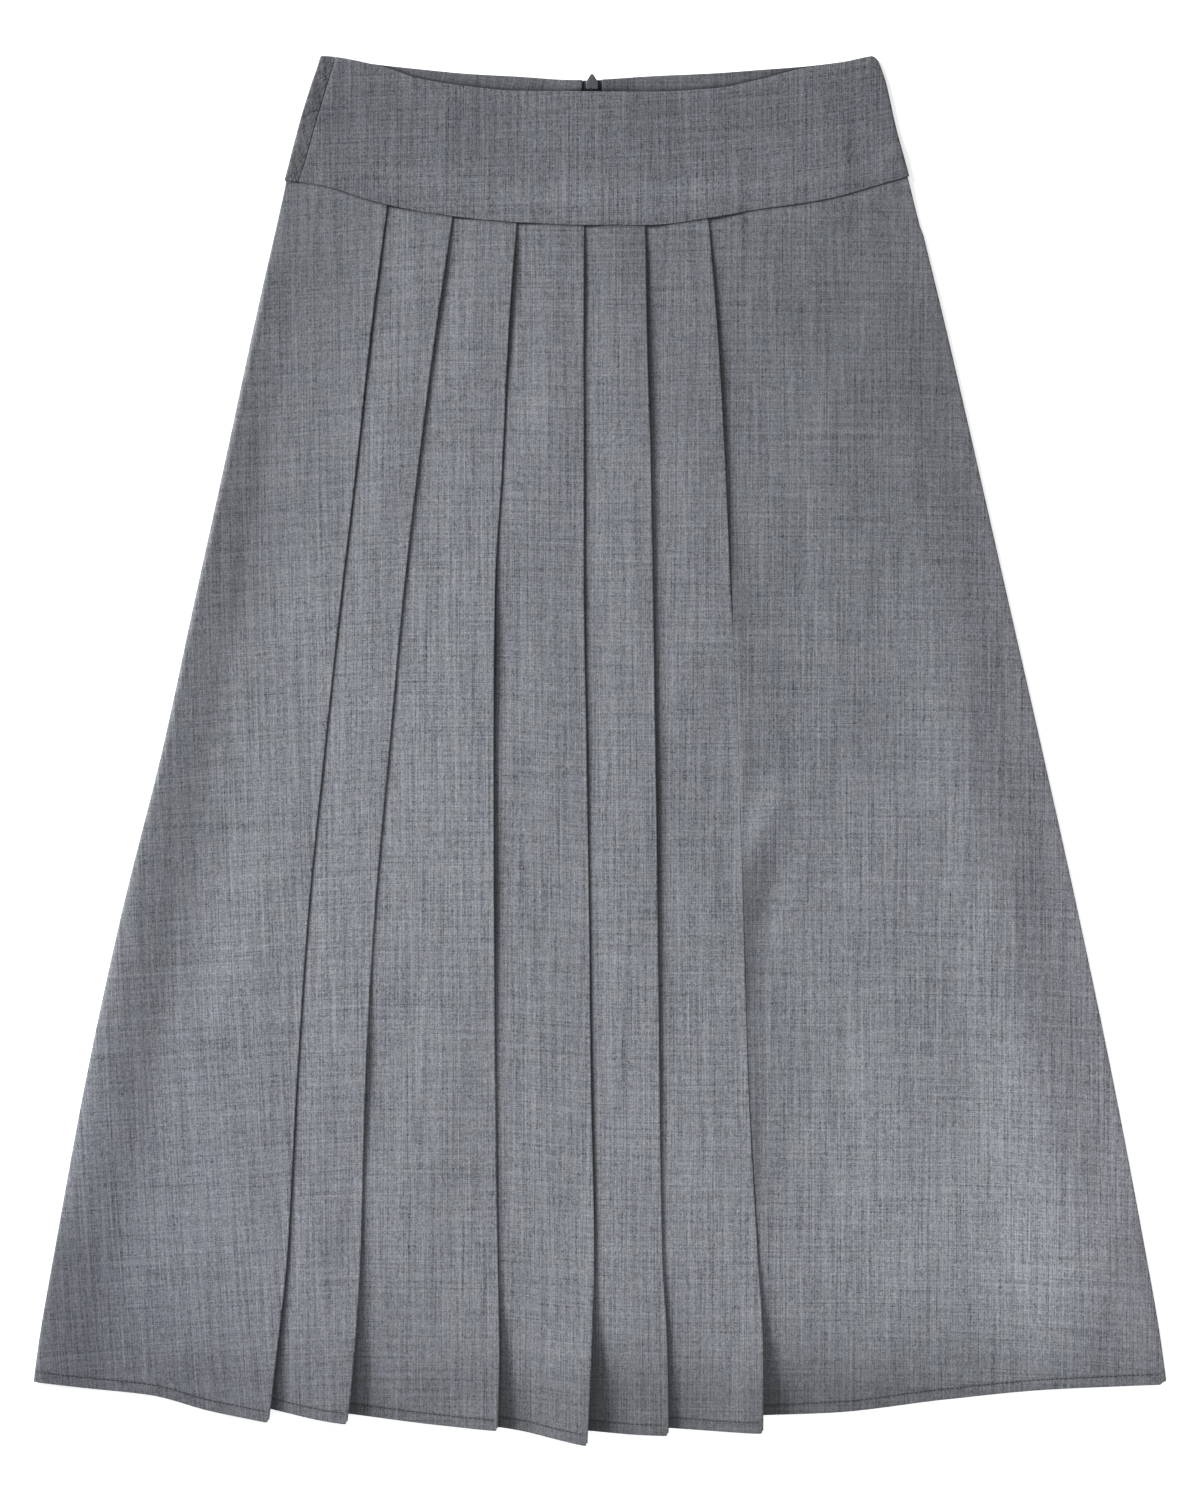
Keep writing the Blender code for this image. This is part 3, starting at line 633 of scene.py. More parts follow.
def settle(line: Line, top_at: Line, bottom_at: Surface, shares: Array) -> Places:
    """Finds the points of a line that lie the given shares of the way from its top to its bottom.

    Args:
        line: x as a function of y.
        top_at: The upper end, as a function of x.
        bottom_at: The lower end, as a function of x and y.
        shares: 0 at the top to 1 at the bottom.

    Returns:
        The points' x and their y.
    """
    y = np.zeros_like(shares)
    for _ in range(SETTLE_STEPS):
        x = line(y)
        top = top_at(x)
        y = top + (bottom_at(x, y) - top) * shares
    return line(y), y


def crease_height(x: Array, y: Array, creases: Iterable[Crease]) -> Array:
    """The height of all the given creases together.

    Args:
        x: Places across the skirt.
        y: Places along it.
        creases: The creases.

    Returns:
        The height at each place.
    """
    height = np.zeros_like(x)
    for crease in creases:
        run = (crease.x_end - crease.x_start, crease.y_end - crease.y_start)
        length = math.hypot(*run)
        from_x, from_y = x - crease.x_start, y - crease.y_start
        along = (from_x * run[0] + from_y * run[1]) / length**2
        across = (from_x * run[1] - from_y * run[0]) / length
        end = hump(along, crease.taper, 1.0 - crease.taper, crease.taper)
        height += crease.height * end * hump(across, 0.0, 0.0, crease.half_width)
    return height


def tone_of(patches: Iterable[Patch], x: Array, y: Array) -> Array:
    """How light the cloth is: 1, with softly lighter and darker patches.

    Args:
        patches: The patches.
        x: Places across the skirt.
        y: Places along it.

    Returns:
        The tone at each place.
    """
    tone = np.ones_like(x)
    for patch in patches:
        across, along = (x - patch.x) / patch.half_width, (y - patch.y) / patch.half_length
        tone += patch.change * (1.0 - ramp(np.sqrt(across**2 + along**2), 0.0, 1.0))
    return tone


def tint_of(x: Array, y: Array) -> Array:
    """How much of red, green and blue the cloth has: 1, with softly tinted parts.

    Args:
        x: Places across the skirt.
        y: Places along it.

    Returns:
        The three shares at each place.
    """
    bluer = tone_of(BLUER, x, y)[..., None] - 1.0
    rosier = np.minimum(crease_height(x, y, ROSIER), 1.0)[..., None]
    return 1.0 + bluer * np.array(BLUE_TINT) + rosier * np.array(ROSE_TINT)


@dataclass(frozen=True)
class Waver:
    """A gentle uneven wave, with its own seed, that is longer down the skirt than across it."""

    height: float
    seed: int
    length: float
    stretch: float
    parts: int = 7
    lengths: Distances = (0.7, 1.7)
    turn: float = 0.5
    usual_sum: float = 4.0

    def at(self, x: Array, y: Array) -> Array:
        """The height of the wave.

        Args:
            x: Places across the skirt.
            y: Places along it.

        Returns:
            The height at each place, mostly within the wave's own height.
        """
        random = np.random.default_rng(self.seed)
        total = np.zeros_like(x)
        for _ in range(self.parts):
            length = self.length * random.uniform(*self.lengths)
            angle = random.uniform(-self.turn, self.turn)
            phase = random.uniform(0.0, math.tau)
            across = math.cos(angle) / length
            along = math.sin(angle) / length + random.uniform(-1.0, 1.0) / (length * self.stretch)
            total += np.sin(math.tau * (x * across + y * along) + phase)
        return self.height * (total / self.usual_sum)


FRONT_WAVERS = (Waver(0.35, 5, 75.0, 2.4), Waver(0.12, 9, 30.0, 2.0))
YOKE_WAVER = Waver(0.18, 3, 60.0, 1.6)
RIPPLE_WAVER = Waver(1.2, 12, 30.0, 1.0)


class Plan:
    """Where the folds, edges and seams of the skirt lie, seen from above."""

    def __init__(self) -> None:
        """Reads the lines from the tables."""
        self.folds = dict(zip((*FACES, "right"), table_lines(SECTIONS)))
        self.hems = {face: smooth_line(HEM_QUARTERS, hem) for face, hem in HEMS.items()}
        self.stands, self.swells, self.lines, self.shades = (
            dict(zip(FACES[1:], table_lines(table)))
            for table in (STANDS, SWELLS, PAINTED_CREASE_LINES, PAINTED_CREASE_SHADES)
        )
        self.front_waist, self.back_waist, self.yoke_seam = table_lines(CURVES)
        (self.back_hem,) = table_lines(BACK_HEM)
        self.yoke_left, self.yoke_right = table_lines(YOKE_SIDES)

    def yoke_top(self, x: Array) -> Array:
        """The top edge of the front yoke, which sags a little where it stands away from the back."""
        front = self.front_waist(x)
        return front - WAIST_SAG * (self.back_waist(x) - front)

    def strip_seam(self, y: Array) -> Array:
        """The seam of the yoke beside its left side fold, which bows out in its middle."""
        return self.yoke_left(y) + FRONT_STRIP + STRIP_BOW * hump(y, *STRIP_BOW_AT)

    def left_fold(self, y: Array) -> Array:
        """The left side fold of the skirt, inside that of the yoke where its top is tucked in."""
        skirt = self.folds["left"](y)
        return np.where(y > YOKE_BOTTOM, np.maximum(skirt, self.yoke_left(y) + LAYER), skirt)

    def right_fold(self, y: Array) -> Array:
        """The right side fold of the skirt, inside that of the yoke in the same way."""
        skirt = self.folds["right"](y)
        return np.where(y > YOKE_BOTTOM, np.minimum(skirt, self.yoke_right(y) - LAYER), skirt)

    def inner_fold(self, pleat: str, y: Array) -> Array:
        """The hidden fold of a pleat, to the left of its edge."""
        deeper = (PLEAT_DEPTH_HEM - PLEAT_DEPTH_TOP) * ramp(y, PLEAT_TOP_Y, PLEAT_HEM_Y)
        return self.folds[pleat](y) - (PLEAT_DEPTH_TOP + deeper)

    def face_start(self, face: str, y: Array) -> Array:
        """The left end of a face: a side fold, or the inner fold of the pleat before it."""
        return self.left_fold(y) if face == "left" else self.inner_fold(face, y)

    def face_end(self, face: str, y: Array) -> Array:
        """The right end of a face: the edge of its own pleat, or the right side fold."""
        following = FACES.index(face) + 1
        return self.right_fold(y) if following == len(FACES) else self.folds[FACES[following]](y)

    def face_hem(self, face: str, x: Array, y: Array) -> Array:
        """The hem of a face, with its round corner.

        Args:
            face: The face's name.
            x: Places across it.
            y: Places along it.

        Returns:
            The hem's own place along the skirt, below each place.
        """
        start, end = self.face_start(face, y), self.face_end(face, y)
        rounded = 1.0 - np.clip((end - x) / CORNER_ROUND, 0.0, 1.0)
        corner = CORNER_ROUND * (1.0 - np.sqrt(1.0 - rounded**2))
        return self.hems[face]((x - start) / (end - start)) + corner

    def tucked_top(self, x: Array) -> Array:
        """The top of the skirt, which is tucked into the yoke."""
        return self.yoke_seam(x) + TUCK

    def on_face(self, face: str, line: Line, shares: Array) -> Places:
        """The points of a face on a line, the given shares of the way from its top to its hem."""
        return settle(line, self.tucked_top, lambda x, y: self.face_hem(face, x, y), shares)

    def seam_below(self, x: Array, _: Array) -> Array:
        """The seam at the bottom of the yoke, as the lower end of a piece."""
        return self.yoke_seam(x)

    def slit_edge(self, side: int) -> Line:
        """The edge of the back along its centre seam, which opens a little round the slider's bail."""
        return lambda y: BACK_CENTRE + side * (
            SLIT_HALF + (SLIT_HALF_AT_BAIL - SLIT_HALF) * ramp(y, *SLIT_WIDENS)
        )


class Heights:
    """How high the middle of each layer lies above the surface under the skirt."""

    def __init__(self, plan: Plan) -> None:
        """Keeps the plan that the heights depend on."""
        self.plan = plan

    def pull_lift(self, x: Array, y: Array) -> Array:
        """How far the cloth stands up over the zip's pull."""
        across = hump(x - BACK_CENTRE, -BACK_FLAT_OVER_PULL, BACK_FLAT_OVER_PULL, PULL_SLOPE)
        return PULL_LIFT * across * hump(y, PULL_END - BACK_FLAT_OVER_PULL, SLIDER_TIP, PULL_SLOPE)

    def seam_lift(self, x: Array, y: Array) -> Array:
        """One layer where the top of the skirt is tucked inside the yoke."""
        return LAYER * hump(y - self.plan.yoke_seam(x), -SEAM_MARGIN, TUCK + SEAM_MARGIN, SEAM_SLOPE)

    def ground(self, x: Array, y: Array) -> Array:
        """How far the back's own soft creases lift it off the surface."""
        return crease_height(x, y, BACK_CREASES)

    def back_yoke(self, x: Array, y: Array) -> Array:
        """The back yoke, or the surface that the back would have with no seam."""
        return CLOTH / 2 + self.pull_lift(x, y) + self.ground(x, y)

    def back(self, x: Array, y: Array) -> Array:
        """The innermost layer of the back."""
        return self.back_yoke(x, y) + self.seam_lift(x, y)

    def tape(self, x: Array, y: Array) -> Array:
        """The zip's tapes."""
        return self.back(x, y) + LAYER

    def facing(self, x: Array, y: Array) -> Array:
        """The facing, which steps up on to the tapes."""
        flat = FACING_FLAT_OVER_TAPE
        return self.tape(x, y) + LAYER * hump(x - BACK_CENTRE, -flat, flat, FACING_SLOPE)

    def front(self, x: Array, y: Array) -> Array:
        """The lowest layer of the front, with its creases.

        Args:
            x: Places across the skirt.
            y: Places along it.

        Returns:
            The height at each place.
        """
        plan = self.plan
        over_zip = hump(x - BACK_CENTRE, -FRONT_FLAT_OVER_PULL, FRONT_FLAT_OVER_PULL, FRONT_SLOPE)
        pull_end = PULL_END - FRONT_FLAT_OVER_PULL
        over_pull = PULL_LIFT * over_zip * hump(y, pull_end, SLIDER_TIP, FRONT_SLOPE_BELOW_PULL)
        over_tape = (LAYER + EASE) * over_zip * ramp(y, ZIP_BOTTOM - FRONT_SLOPE_BELOW_TAPE, ZIP_BOTTOM)
        facing_end = plan.back_waist(x) - FACING_DEPTH
        over_facing = LAYER * ramp(y - facing_end, -FACING_SLOPE, 0.0)
        packed = CLOTH / 2 + LAYER + self.seam_lift(x, y) + over_pull + over_tape + over_facing
        return packed + self.ground(x, y) + self.loft(x, y)

    def loft(self, x: Array, y: Array) -> Array:
        """How far the front stands off the back, with its creases and its gentle unevenness.

        Args:
            x: Places across the skirt.
            y: Places along it.

        Returns:
            The height at each place.
        """
        plan = self.plan
        inside = ramp(x - plan.folds["left"](y), *LOFT_LEFT) * ramp(plan.folds["right"](y) - x, *LOFT_RIGHT)
        below_yoke = 1.0 - ramp(y, YOKE_LOFT_FROM - LOFT_TOP, YOKE_LOFT_FROM)
        below_yoke = below_yoke * ramp(y - plan.back_hem(x) + HEM_DROP, 0.0, HEM_FALL)
        uneven = sum(waver.at(x, y) for waver in FRONT_WAVERS)
        return (LOFT + uneven) * inside * below_yoke + crease_height(x, y, FRONT_CREASES)

    def front_yoke(self, x: Array, y: Array) -> Array:
        """The front yoke, which lies over the top of the front and its pleats.

        Args:
            x: Places across the skirt.
            y: Places along it.

        Returns:
            The height at each place.
        """
        plan = self.plan
        first = plan.folds["pleat_1"](y) - PLEAT_DEPTH_TOP - PLEATS_MARGIN
        last = plan.folds["pleat_6"](y) + SEAM_MARGIN
        pleated = ramp(x - first, -PLEATS_SLOPE, 0.0) * (1.0 - ramp(x - last, 0.0, PLEATS_SLOPE))
        over_skirt = 1.0 - ramp(y - plan.yoke_seam(x), TUCK + SEAM_MARGIN, TUCK + SEAM_MARGIN + YOKE_RISE)
        uneven = YOKE_WAVER.at(x, y) * hump(x, *YOKE_UNEVEN_WITHIN) * (1.0 - over_skirt)
        return self.front(x, y) + (YOKE_CLEAR + 2.0 * PLEAT_LAYER * pleated) * over_skirt + uneven

    def face_lift(self, face: str, x: Array, y: Array) -> Array:
        """How far a face of the front is lifted by its pleats.

        Args:
            face: The face's name.
            x: Places across it.
            y: Places along it.

        Returns:
            The lift, from the pleat at its left and the flap at its right.
        """
        plan, index = self.plan, FACES.index(face)
        lift = np.zeros_like(x)
        if index > 0:
            edge, inner = plan.folds[face](y), plan.inner_fold(face, y)
            under_flap = 1.0 - ramp((x - inner) / (edge + FLAP_SETTLES - inner), 0.0, 1.0)
            lift += self.face_lift(FACES[index - 1], np.minimum(x, edge), y) * under_flap
            swell = plan.swells[face](y)
            closed = ramp(swell, *SWELL_CLOSES)
            begins = (x - edge - SWELL_STARTS[0] + SWELL_PRESS[0] * closed) / (
                SWELL_STARTS[1] - SWELL_STARTS[0] - SWELL_PRESS[1] * closed
            )
            lift += swell * ramp(begins, 0.0, 1.0) * (1.0 - ramp(x - edge, *SWELL_ENDS))
        if index + 1 < len(FACES):
            edge = plan.folds[FACES[index + 1]](y)
            lift += plan.stands[FACES[index + 1]](y) * ramp(x - edge, -FLAP_REACH, 0.0)
            lift += EDGE_ROLL * ramp(x - edge, -EDGE_ROLL_WIDTH, 0.0) * (1.0 - ramp(y, *EDGE_ROLL_FADES))
        return lift

    def lowest_of_face(self, face: str, x: Array, y: Array) -> Array:
        """A face of the front where nothing lies below it but the back."""
        return self.front(x, y) + self.face_lift(face, x, y)

    def top_of_face(self, face: str, x: Array, y: Array) -> Array:
        """A face of the front, which climbs over the folded layers of the pleat at its right.

        Args:
            face: The face's name.
            x: Places across it.
            y: Places along it.

        Returns:
            The height at each place.
        """
        plan, following = self.plan, FACES.index(face) + 1
        level = self.lowest_of_face(face, x, y)
        if following == len(FACES):
            return level
        climb_end = plan.inner_fold(FACES[following], y) - PLEAT_CLEAR
        climb_start = climb_end - FIRST_CLIMB if face == "left" else plan.folds[face](y) + PLEAT_CLEAR
        return level + 2.0 * PLEAT_LAYER * ramp((x - climb_start) / (climb_end - climb_start), 0.0, 1.0)


class Body(Enum):
    """What a piece moves with."""

    SKIRT = "skirt"
    PULL = "zip_pull"


class Side(Enum):
    """Which half of the back, as the front of the skirt is looked at."""

    LEFT = -1
    RIGHT = 1

    @property
    def word(self) -> str:
        """The side's name."""
        return self.name.lower()


@dataclass
class Columns:
    """The columns of points of one piece of cloth, from one side of it to the other."""

    points: list[Array] = field(default_factory=list)
    grain: list[Array] = field(default_factory=list)

    def add(self, x: Array, y: Array, z: Array, grain: Array) -> None:
        """Adds one column, with the place of its points on the flat cloth."""
        self.points.append(np.stack([x, y, z], axis=1))
        self.grain.append(grain)

    def lay(self, places: Places, layer: Surface, grain_at: Surface) -> None:
        """Adds one column at the given places on a layer of the skirt."""
        self.add(*places, layer(*places), grain_at(*places))

    def fold(self, places: Places, first: Array, last: Array, side: int, grain_at: Surface) -> None:
        """Adds the columns of a fold, from the height of its first layer round to that of its last.

        Args:
            places: The outside of the fold.
            first: The height of the layer that it comes from.
            last: The height of the layer that it goes to.
            side: 1 for a fold that faces right, and -1 for one that faces left.
            grain_at: The place on the flat cloth at each point.
        """
        x, y = places
        radius = np.abs(first - last) / 2.0
        for step in range(FOLD_POINTS):
            angle = math.pi * (0.5 - step / (FOLD_POINTS - 1))
            inward = SHEET / 2.0 + radius * (1.0 - math.cos(angle))
            z = (first + last) / 2.0 + (first - last) / 2.0 * math.sin(angle)
            self.add(x - side * inward, y, z, grain_at(x - side * inward, y))

    def shell(self) -> "ClothShell":
        """A shell of one thickness round the points."""
        points = np.stack(self.points, axis=1)
        size = points.shape[:2]
        return ClothShell(points, np.stack(self.grain, axis=1), np.full(size, SHEET), np.ones(size))


# Where a row of numbers for one point of a shell has its place, its grain, its thickness and its tone
POINT, THREADS, WALL, LIGHT = slice(0, 3), slice(3, 5), 5, 6


@dataclass
class ClothShell:
    """A thin closed shell of cloth round a grid of points in its middle, in millimetres.

    Its tone is how light the cloth is painted at each point, with its painted light and shade, where 1 is its
    plain colour.
    """

    points: Array
    grain: Array
    thickness: Array
    tone: Array

    def area(self) -> float:
        """The area of the cloth, in square metres."""
        down = np.diff(self.points, axis=0)[:, :-1]
        across = np.diff(self.points, axis=1)[:-1]
        return float(np.linalg.norm(np.cross(down, across), axis=2).sum()) * MM**2

    def normals(self) -> Array:
        """The upward direction of the cloth at each point."""
        normals = np.cross(np.gradient(self.points, axis=0), np.gradient(self.points, axis=1))
        return normals / np.linalg.norm(normals, axis=2, keepdims=True)

    def outside(self, side: int) -> Array:
        """The points of its upper skin, or of its lower one if side is -1."""
        normals = self.normals()
        up = normals * np.sign(normals[..., 2:])
        return self.points + side * up * self.thickness[..., None] / 2.0

    def with_soft_edges(self) -> "ClothShell":
        """The same cloth with more lines of points near its edges, where it thins to a round."""
        last = (self.thickness[..., None], self.tone[..., None])
        sheet = np.concatenate([self.points, self.grain, *last], axis=2)
        for _ in range(2):
            for _ in range(2):
                run = np.linalg.norm((sheet[1] - sheet[0])[:, POINT], axis=1)[:, None]
                lines = [sheet[0] + (sheet[1] - sheet[0]) * by / run for by, _ in EDGE_ROUND]
                for line, (_, share) in zip(lines, EDGE_ROUND):
                    line[:, WALL] *= share
                sheet = np.concatenate([np.array(lines), sheet[1:]])[::-1]
            sheet = sheet.transpose(1, 0, 2)
        return ClothShell(*(sheet[..., part] for part in (POINT, THREADS, WALL, LIGHT)))

    def build(self, name: str) -> Object:
        """Makes the closed mesh of the cloth, with its place on the flat cloth as a UV map in metres.

        Args:
            name: The piece's name.

        Returns:
            The new object.
        """
        soft = self.with_soft_edges()
        rows, columns = soft.thickness.shape
        push = soft.normals() * soft.thickness[..., None] / 2.0
        upper = np.arange(rows * columns).reshape(rows, columns)
        lower = upper.copy()
        inside = (slice(1, -1), slice(1, -1))
        lower[inside] = upper.size + np.arange((rows - 2) * (columns - 2)).reshape(rows - 2, columns - 2)
        skins = (soft.points + push, (soft.points - push)[inside])
        corners = np.concatenate([skin.reshape(-1, 3) for skin in skins])
        grain = np.concatenate([soft.grain.reshape(-1, 2), soft.grain[inside].reshape(-1, 2)])
        faces = []
        for skin, turn in ((upper, 1), (lower, -1)):
            quads = np.stack([skin[:-1, :-1], skin[1:, :-1], skin[1:, 1:], skin[:-1, 1:]], axis=2)
            faces.append(quads.reshape(-1, 4)[:, ::turn])
        quads = np.concatenate(faces)
        mesh = bpy.data.meshes.new(name)
        mesh.from_pydata(corners * MM, [], quads)
        mesh.uv_layers.new(name=GRAIN_MAP).data.foreach_set("uv", grain[quads.ravel()].ravel())
        mesh.shade_smooth()
        light = soft.tone[..., None] * tint_of(soft.points[..., 0], soft.points[..., 1])
        light = np.concatenate([light.reshape(-1, 3), light[inside].reshape(-1, 3)])
        mesh.attributes.new(TONE, "FLOAT_VECTOR", "POINT").data.foreach_set("vector", light.ravel())
        return placed(name, mesh)


@dataclass
class Grain:
    """How the threads of a flat-cut piece lie on the skirt, where it is sheared and bent a little.

    The warp runs down the piece and the weft across it. Turns are in degrees, anticlockwise.
    """

    weft_top: float = 0.0
    weft_hem: float = 0.0
    warp_top: float = 0.0
    warp_hem: float = 0.0
    weft_across: float = 0.0
    weft_bend: float = 0.0
    origin: Pair = (0.0, 345.0)
    shift: Pair = (0.0, 0.0)
    bias: float = 0.0

    def at(self, x: Array, y: Array) -> Array:
        """Where a place on the skirt lies on the flat cloth.

        Args:
            x: Places across the skirt.
            y: Places along it.

        Returns:
            The places on the flat cloth, in metres.
        """
        across, drop = x - self.origin[0], self.origin[1] - y
        share = drop / GRAIN_LENGTH
        warp = np.radians(self.warp_top + (self.warp_hem - self.warp_top) * share / 2.0)
        weft = self.weft_top + (self.weft_hem - self.weft_top) * share
        weft = weft + self.weft_across * across / (2.0 * TURN_REACH)
        weft = weft + self.weft_bend * across**2 / (3.0 * TURN_REACH**2)
        u, v = across - drop * warp, -drop - across * np.radians(weft)
        turn = math.radians(self.bias)
        turned = (u * math.cos(turn) + v * math.sin(turn), v * math.cos(turn) - u * math.sin(turn))
        return (np.stack(turned, axis=-1) + np.array(self.shift)) * MM

    def under(self, fold: Line) -> Surface:
        """The same cloth where it has turned under at a fold, and runs back from it."""
        return lambda x, y: self.at(2.0 * fold(y) - x, y)


def placed(name: str, data: bpy.types.ID) -> Object:
    """A new object in the scene, of a mesh, a light or a camera."""
    made = bpy.data.objects.new(name, data)
    bpy.context.scene.collection.objects.link(made)
    return made


def rows_between(length: float, near_top: Distances, near_bottom: Distances, step: float) -> Array:
    """Where a piece has its rows of points, as shares of its length.

    Args:
        length: The piece's usual length.
        near_top: Distances of rows from its top edge.
        near_bottom: Distances of rows from its bottom edge.
        step: About how far apart the rows between those are.

    Returns:
        The shares, from 0 at the top to 1 at the bottom.
    """
    top, bottom = near_top[-1], length - near_bottom[-1]
    between = np.linspace(top, bottom, round((bottom - top) / step) + 1)[1:-1]
    return np.array([*near_top, *between, *(length - away for away in reversed(near_bottom))]) / length


def parts_across(width: float, step: float, near_start: Distances) -> list[float]:
    """Where a piece has its columns, as shares of its width: the first ones, and then even steps."""
    count = round(width / step)
    return [*near_start, *(part / count for part in range(1, count + 1))]


@dataclass
class Piece:
    """A piece of the skirt, which is built on the plan and then dressed."""

    plan: Plan
    heights: Heights
    body: Body = Body.SKIRT

    def fit(self, made: Object, slot: str, *nodes: str) -> Object:
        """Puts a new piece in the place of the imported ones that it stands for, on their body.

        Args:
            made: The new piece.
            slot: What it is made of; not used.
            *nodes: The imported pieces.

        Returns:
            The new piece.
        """
        if nodes:
            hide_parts(*nodes)
        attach(made, self.body.value)
        LOG.info("%s: %d points", made.name, len(made.data.vertices))
        return made

    def lay(self, shell: ClothShell, name: str, slot: str, flat: Pair) -> Object:
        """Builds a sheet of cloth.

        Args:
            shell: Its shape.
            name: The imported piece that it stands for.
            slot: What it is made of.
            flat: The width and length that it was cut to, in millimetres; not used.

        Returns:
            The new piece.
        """
        made = self.fit(shell.build(f"{name}_cloth"), slot, name)
        area = shell.area()
        return made


@dataclass
class FrontPanel(Piece):
    """The front of the skirt, in one piece through its six pleats, with its side seams on the back."""

    length: float = 800.0
    flat: Pair = (1150.0, 836.0)
    near_top: Distances = (0.0, 3.0, 7.0, 8.1, 8.8, 9.8, 11.5, 16.0)
    near_hem: Distances = NEAR_HEM
    row_step: float = 6.2
    past_edge: Distances = (0.1, 0.5, 0.9, 1.6, 2.8, 5.0, 8.5, 13.5, 20.0)
    before_edge: Distances = (11.0, 6.5, 3.0, 1.2)
    inside_fold: Distances = (4.5, 7.0, 11.0, 17.0, 25.0)
    wrap: Distances = (SIDE_WRAP, 7.0, FOLD_FLAT)
    column_step: float = 8.0
    hidden: Distances = (0.1, 0.4, 0.7, 0.95)
    pucker: float = 0.12
    pucker_length: float = 9.0
    pucker_drift: float = 0.3
    drift_length: float = 23.0
    groove: float = 0.22
    groove_width: float = 1.1
    hem_step: float = 1.5
    hidden_cloth: float = 50.0

    def __post_init__(self) -> None:
        """Sets out the rows and the grain of each face."""
        self.shares = rows_between(self.length, self.near_top, self.near_hem, self.row_step)
        self.grains = {}
        for index, (face, turns) in enumerate(FACE_TURNS.items()):
            self.grains[face] = Grain(*turns, shift=(turns[-1][0] + self.hidden_cloth * index, 0.0))
        self.shown: list[slice] = []

    def tone(self, x: Array, y: Array, above_hem: Array) -> Array:
        """How light the front is painted: soft patches of painted light and shade, painted shade towards its
        hem and in the creases of its pleats and seam, and darker along its hem's stitches and turned hem.

        Args:
            x: Places across it.
            y: Places along it.
            above_hem: How far each is above the hem of its own face.

        Returns:
            The tone at each place.
        """
        plan = self.plan
        # Soft patches of painted light and shade, and painted shade towards the hem
        tone = tone_of(FRONT_PAINTED_LIGHT, x, y) * (1.0 + PAINTED_HEM_SHADE * (1.0 - ramp(above_hem, *PAINTED_HEM_SHADE_REACH)))
        # Painted shade in the narrow crease under each pleat's edge, and soft painted shade beside it
        for pleat in plan.stands:
            past = x - plan.folds[pleat](y)
            stand, swell = plan.stands[pleat](y), plan.swells[pleat](y)
            width = np.minimum(CREASE_WIDTH[0] + CREASE_WIDTH[1] * stand, CREASE_WIDTH[2])
            dark = plan.lines[pleat](y) * np.exp(-((past / width) ** 2))
            dark *= 1.0 - ramp(swell - stand, *CREASE_FADES)
            width = WIDE_SHADES.get(pleat, SHADE_WIDTH)
            dark += plan.shades[pleat](y) * np.exp(-((past / width) ** 2))
            tone *= 1.0 - np.where(past > 0.0, dark, 0.0)
        # Painted shadow just below the edge of the yoke's seam
        below_seam = plan.yoke_seam(x) - y
        tone *= 1.0 - SEAM_PAINTED_SHADOW * np.exp(-((below_seam / SEAM_PAINTED_SHADOW_WIDTH) ** 2)) * (below_seam > 0.0)
        stitched = np.exp(-(((above_hem - HEM_STITCH) / STITCH_TONE_WIDTH) ** 2))
        return tone * (1.0 - STITCH_TONE * stitched) * (1.0 - TURN_UP_TONE * (above_hem < HEM_STITCH))

    def place(self, face: str, line: Line) -> Places:
        """The places of a column on a line of one face."""
        return self.plan.on_face(face, line, self.shares)

    def hem_detail(self, x: Array, y: Array) -> Array:
        """The puckers along the hem and the shallow groove of its stitches.

        Args:
            x: Places across the skirt.
            y: Places along it, of one column after another.

        Returns:
            How far the cloth stands up at each place.
        """
        away = y - y[-1]
        near = 1.0 - ramp(away, HEM_STITCH, 3.0 * HEM_STITCH)
        drift = self.pucker_drift * np.sin(x / self.drift_length)
        wave = np.sin(math.tau * (x / self.pucker_length + drift))
        groove = np.exp(-(((away - HEM_STITCH) / self.groove_width) ** 2))
        return self.pucker * near * wave - self.groove * groove

    def face_columns(self, columns: Columns, face: str) -> None:
        """Adds the part of a face that shows, from left to right.

        Args:
            columns: The columns so far.
            face: The face's name.
        """
        plan, index = self.plan, FACES.index(face)
        end = plan.folds[FACES[index + 1]] if index + 1 < len(FACES) else plan.right_fold
        start = plan.left_fold if index == 0 else plan.folds[face]
        first = self.inside_fold if index == 0 else self.past_edge
        last = self.inside_fold[::-1] if index + 1 == len(FACES) else self.before_edge
        low, high = offset(start, first[-1]), offset(end, -last[0])
        width = float(high(np.array(PLEAT_HEM_Y)) - low(np.array(PLEAT_HEM_Y)))
        count = max(round(width / self.column_step), 1)
        before = len(columns.points)
        lines = [offset(start, by) for by in first]
        lines += [blend(low, high, part / count) for part in range(1, count)]
        lines += [offset(end, -by) for by in last]
        for line in lines:
            x, y = self.place(face, line)
            z = self.heights.top_of_face(face, x, y) + self.hem_detail(x, y)
            columns.add(x, y, z, self.grains[face].at(x, y))
        self.shown.append(slice(before, len(columns.points)))

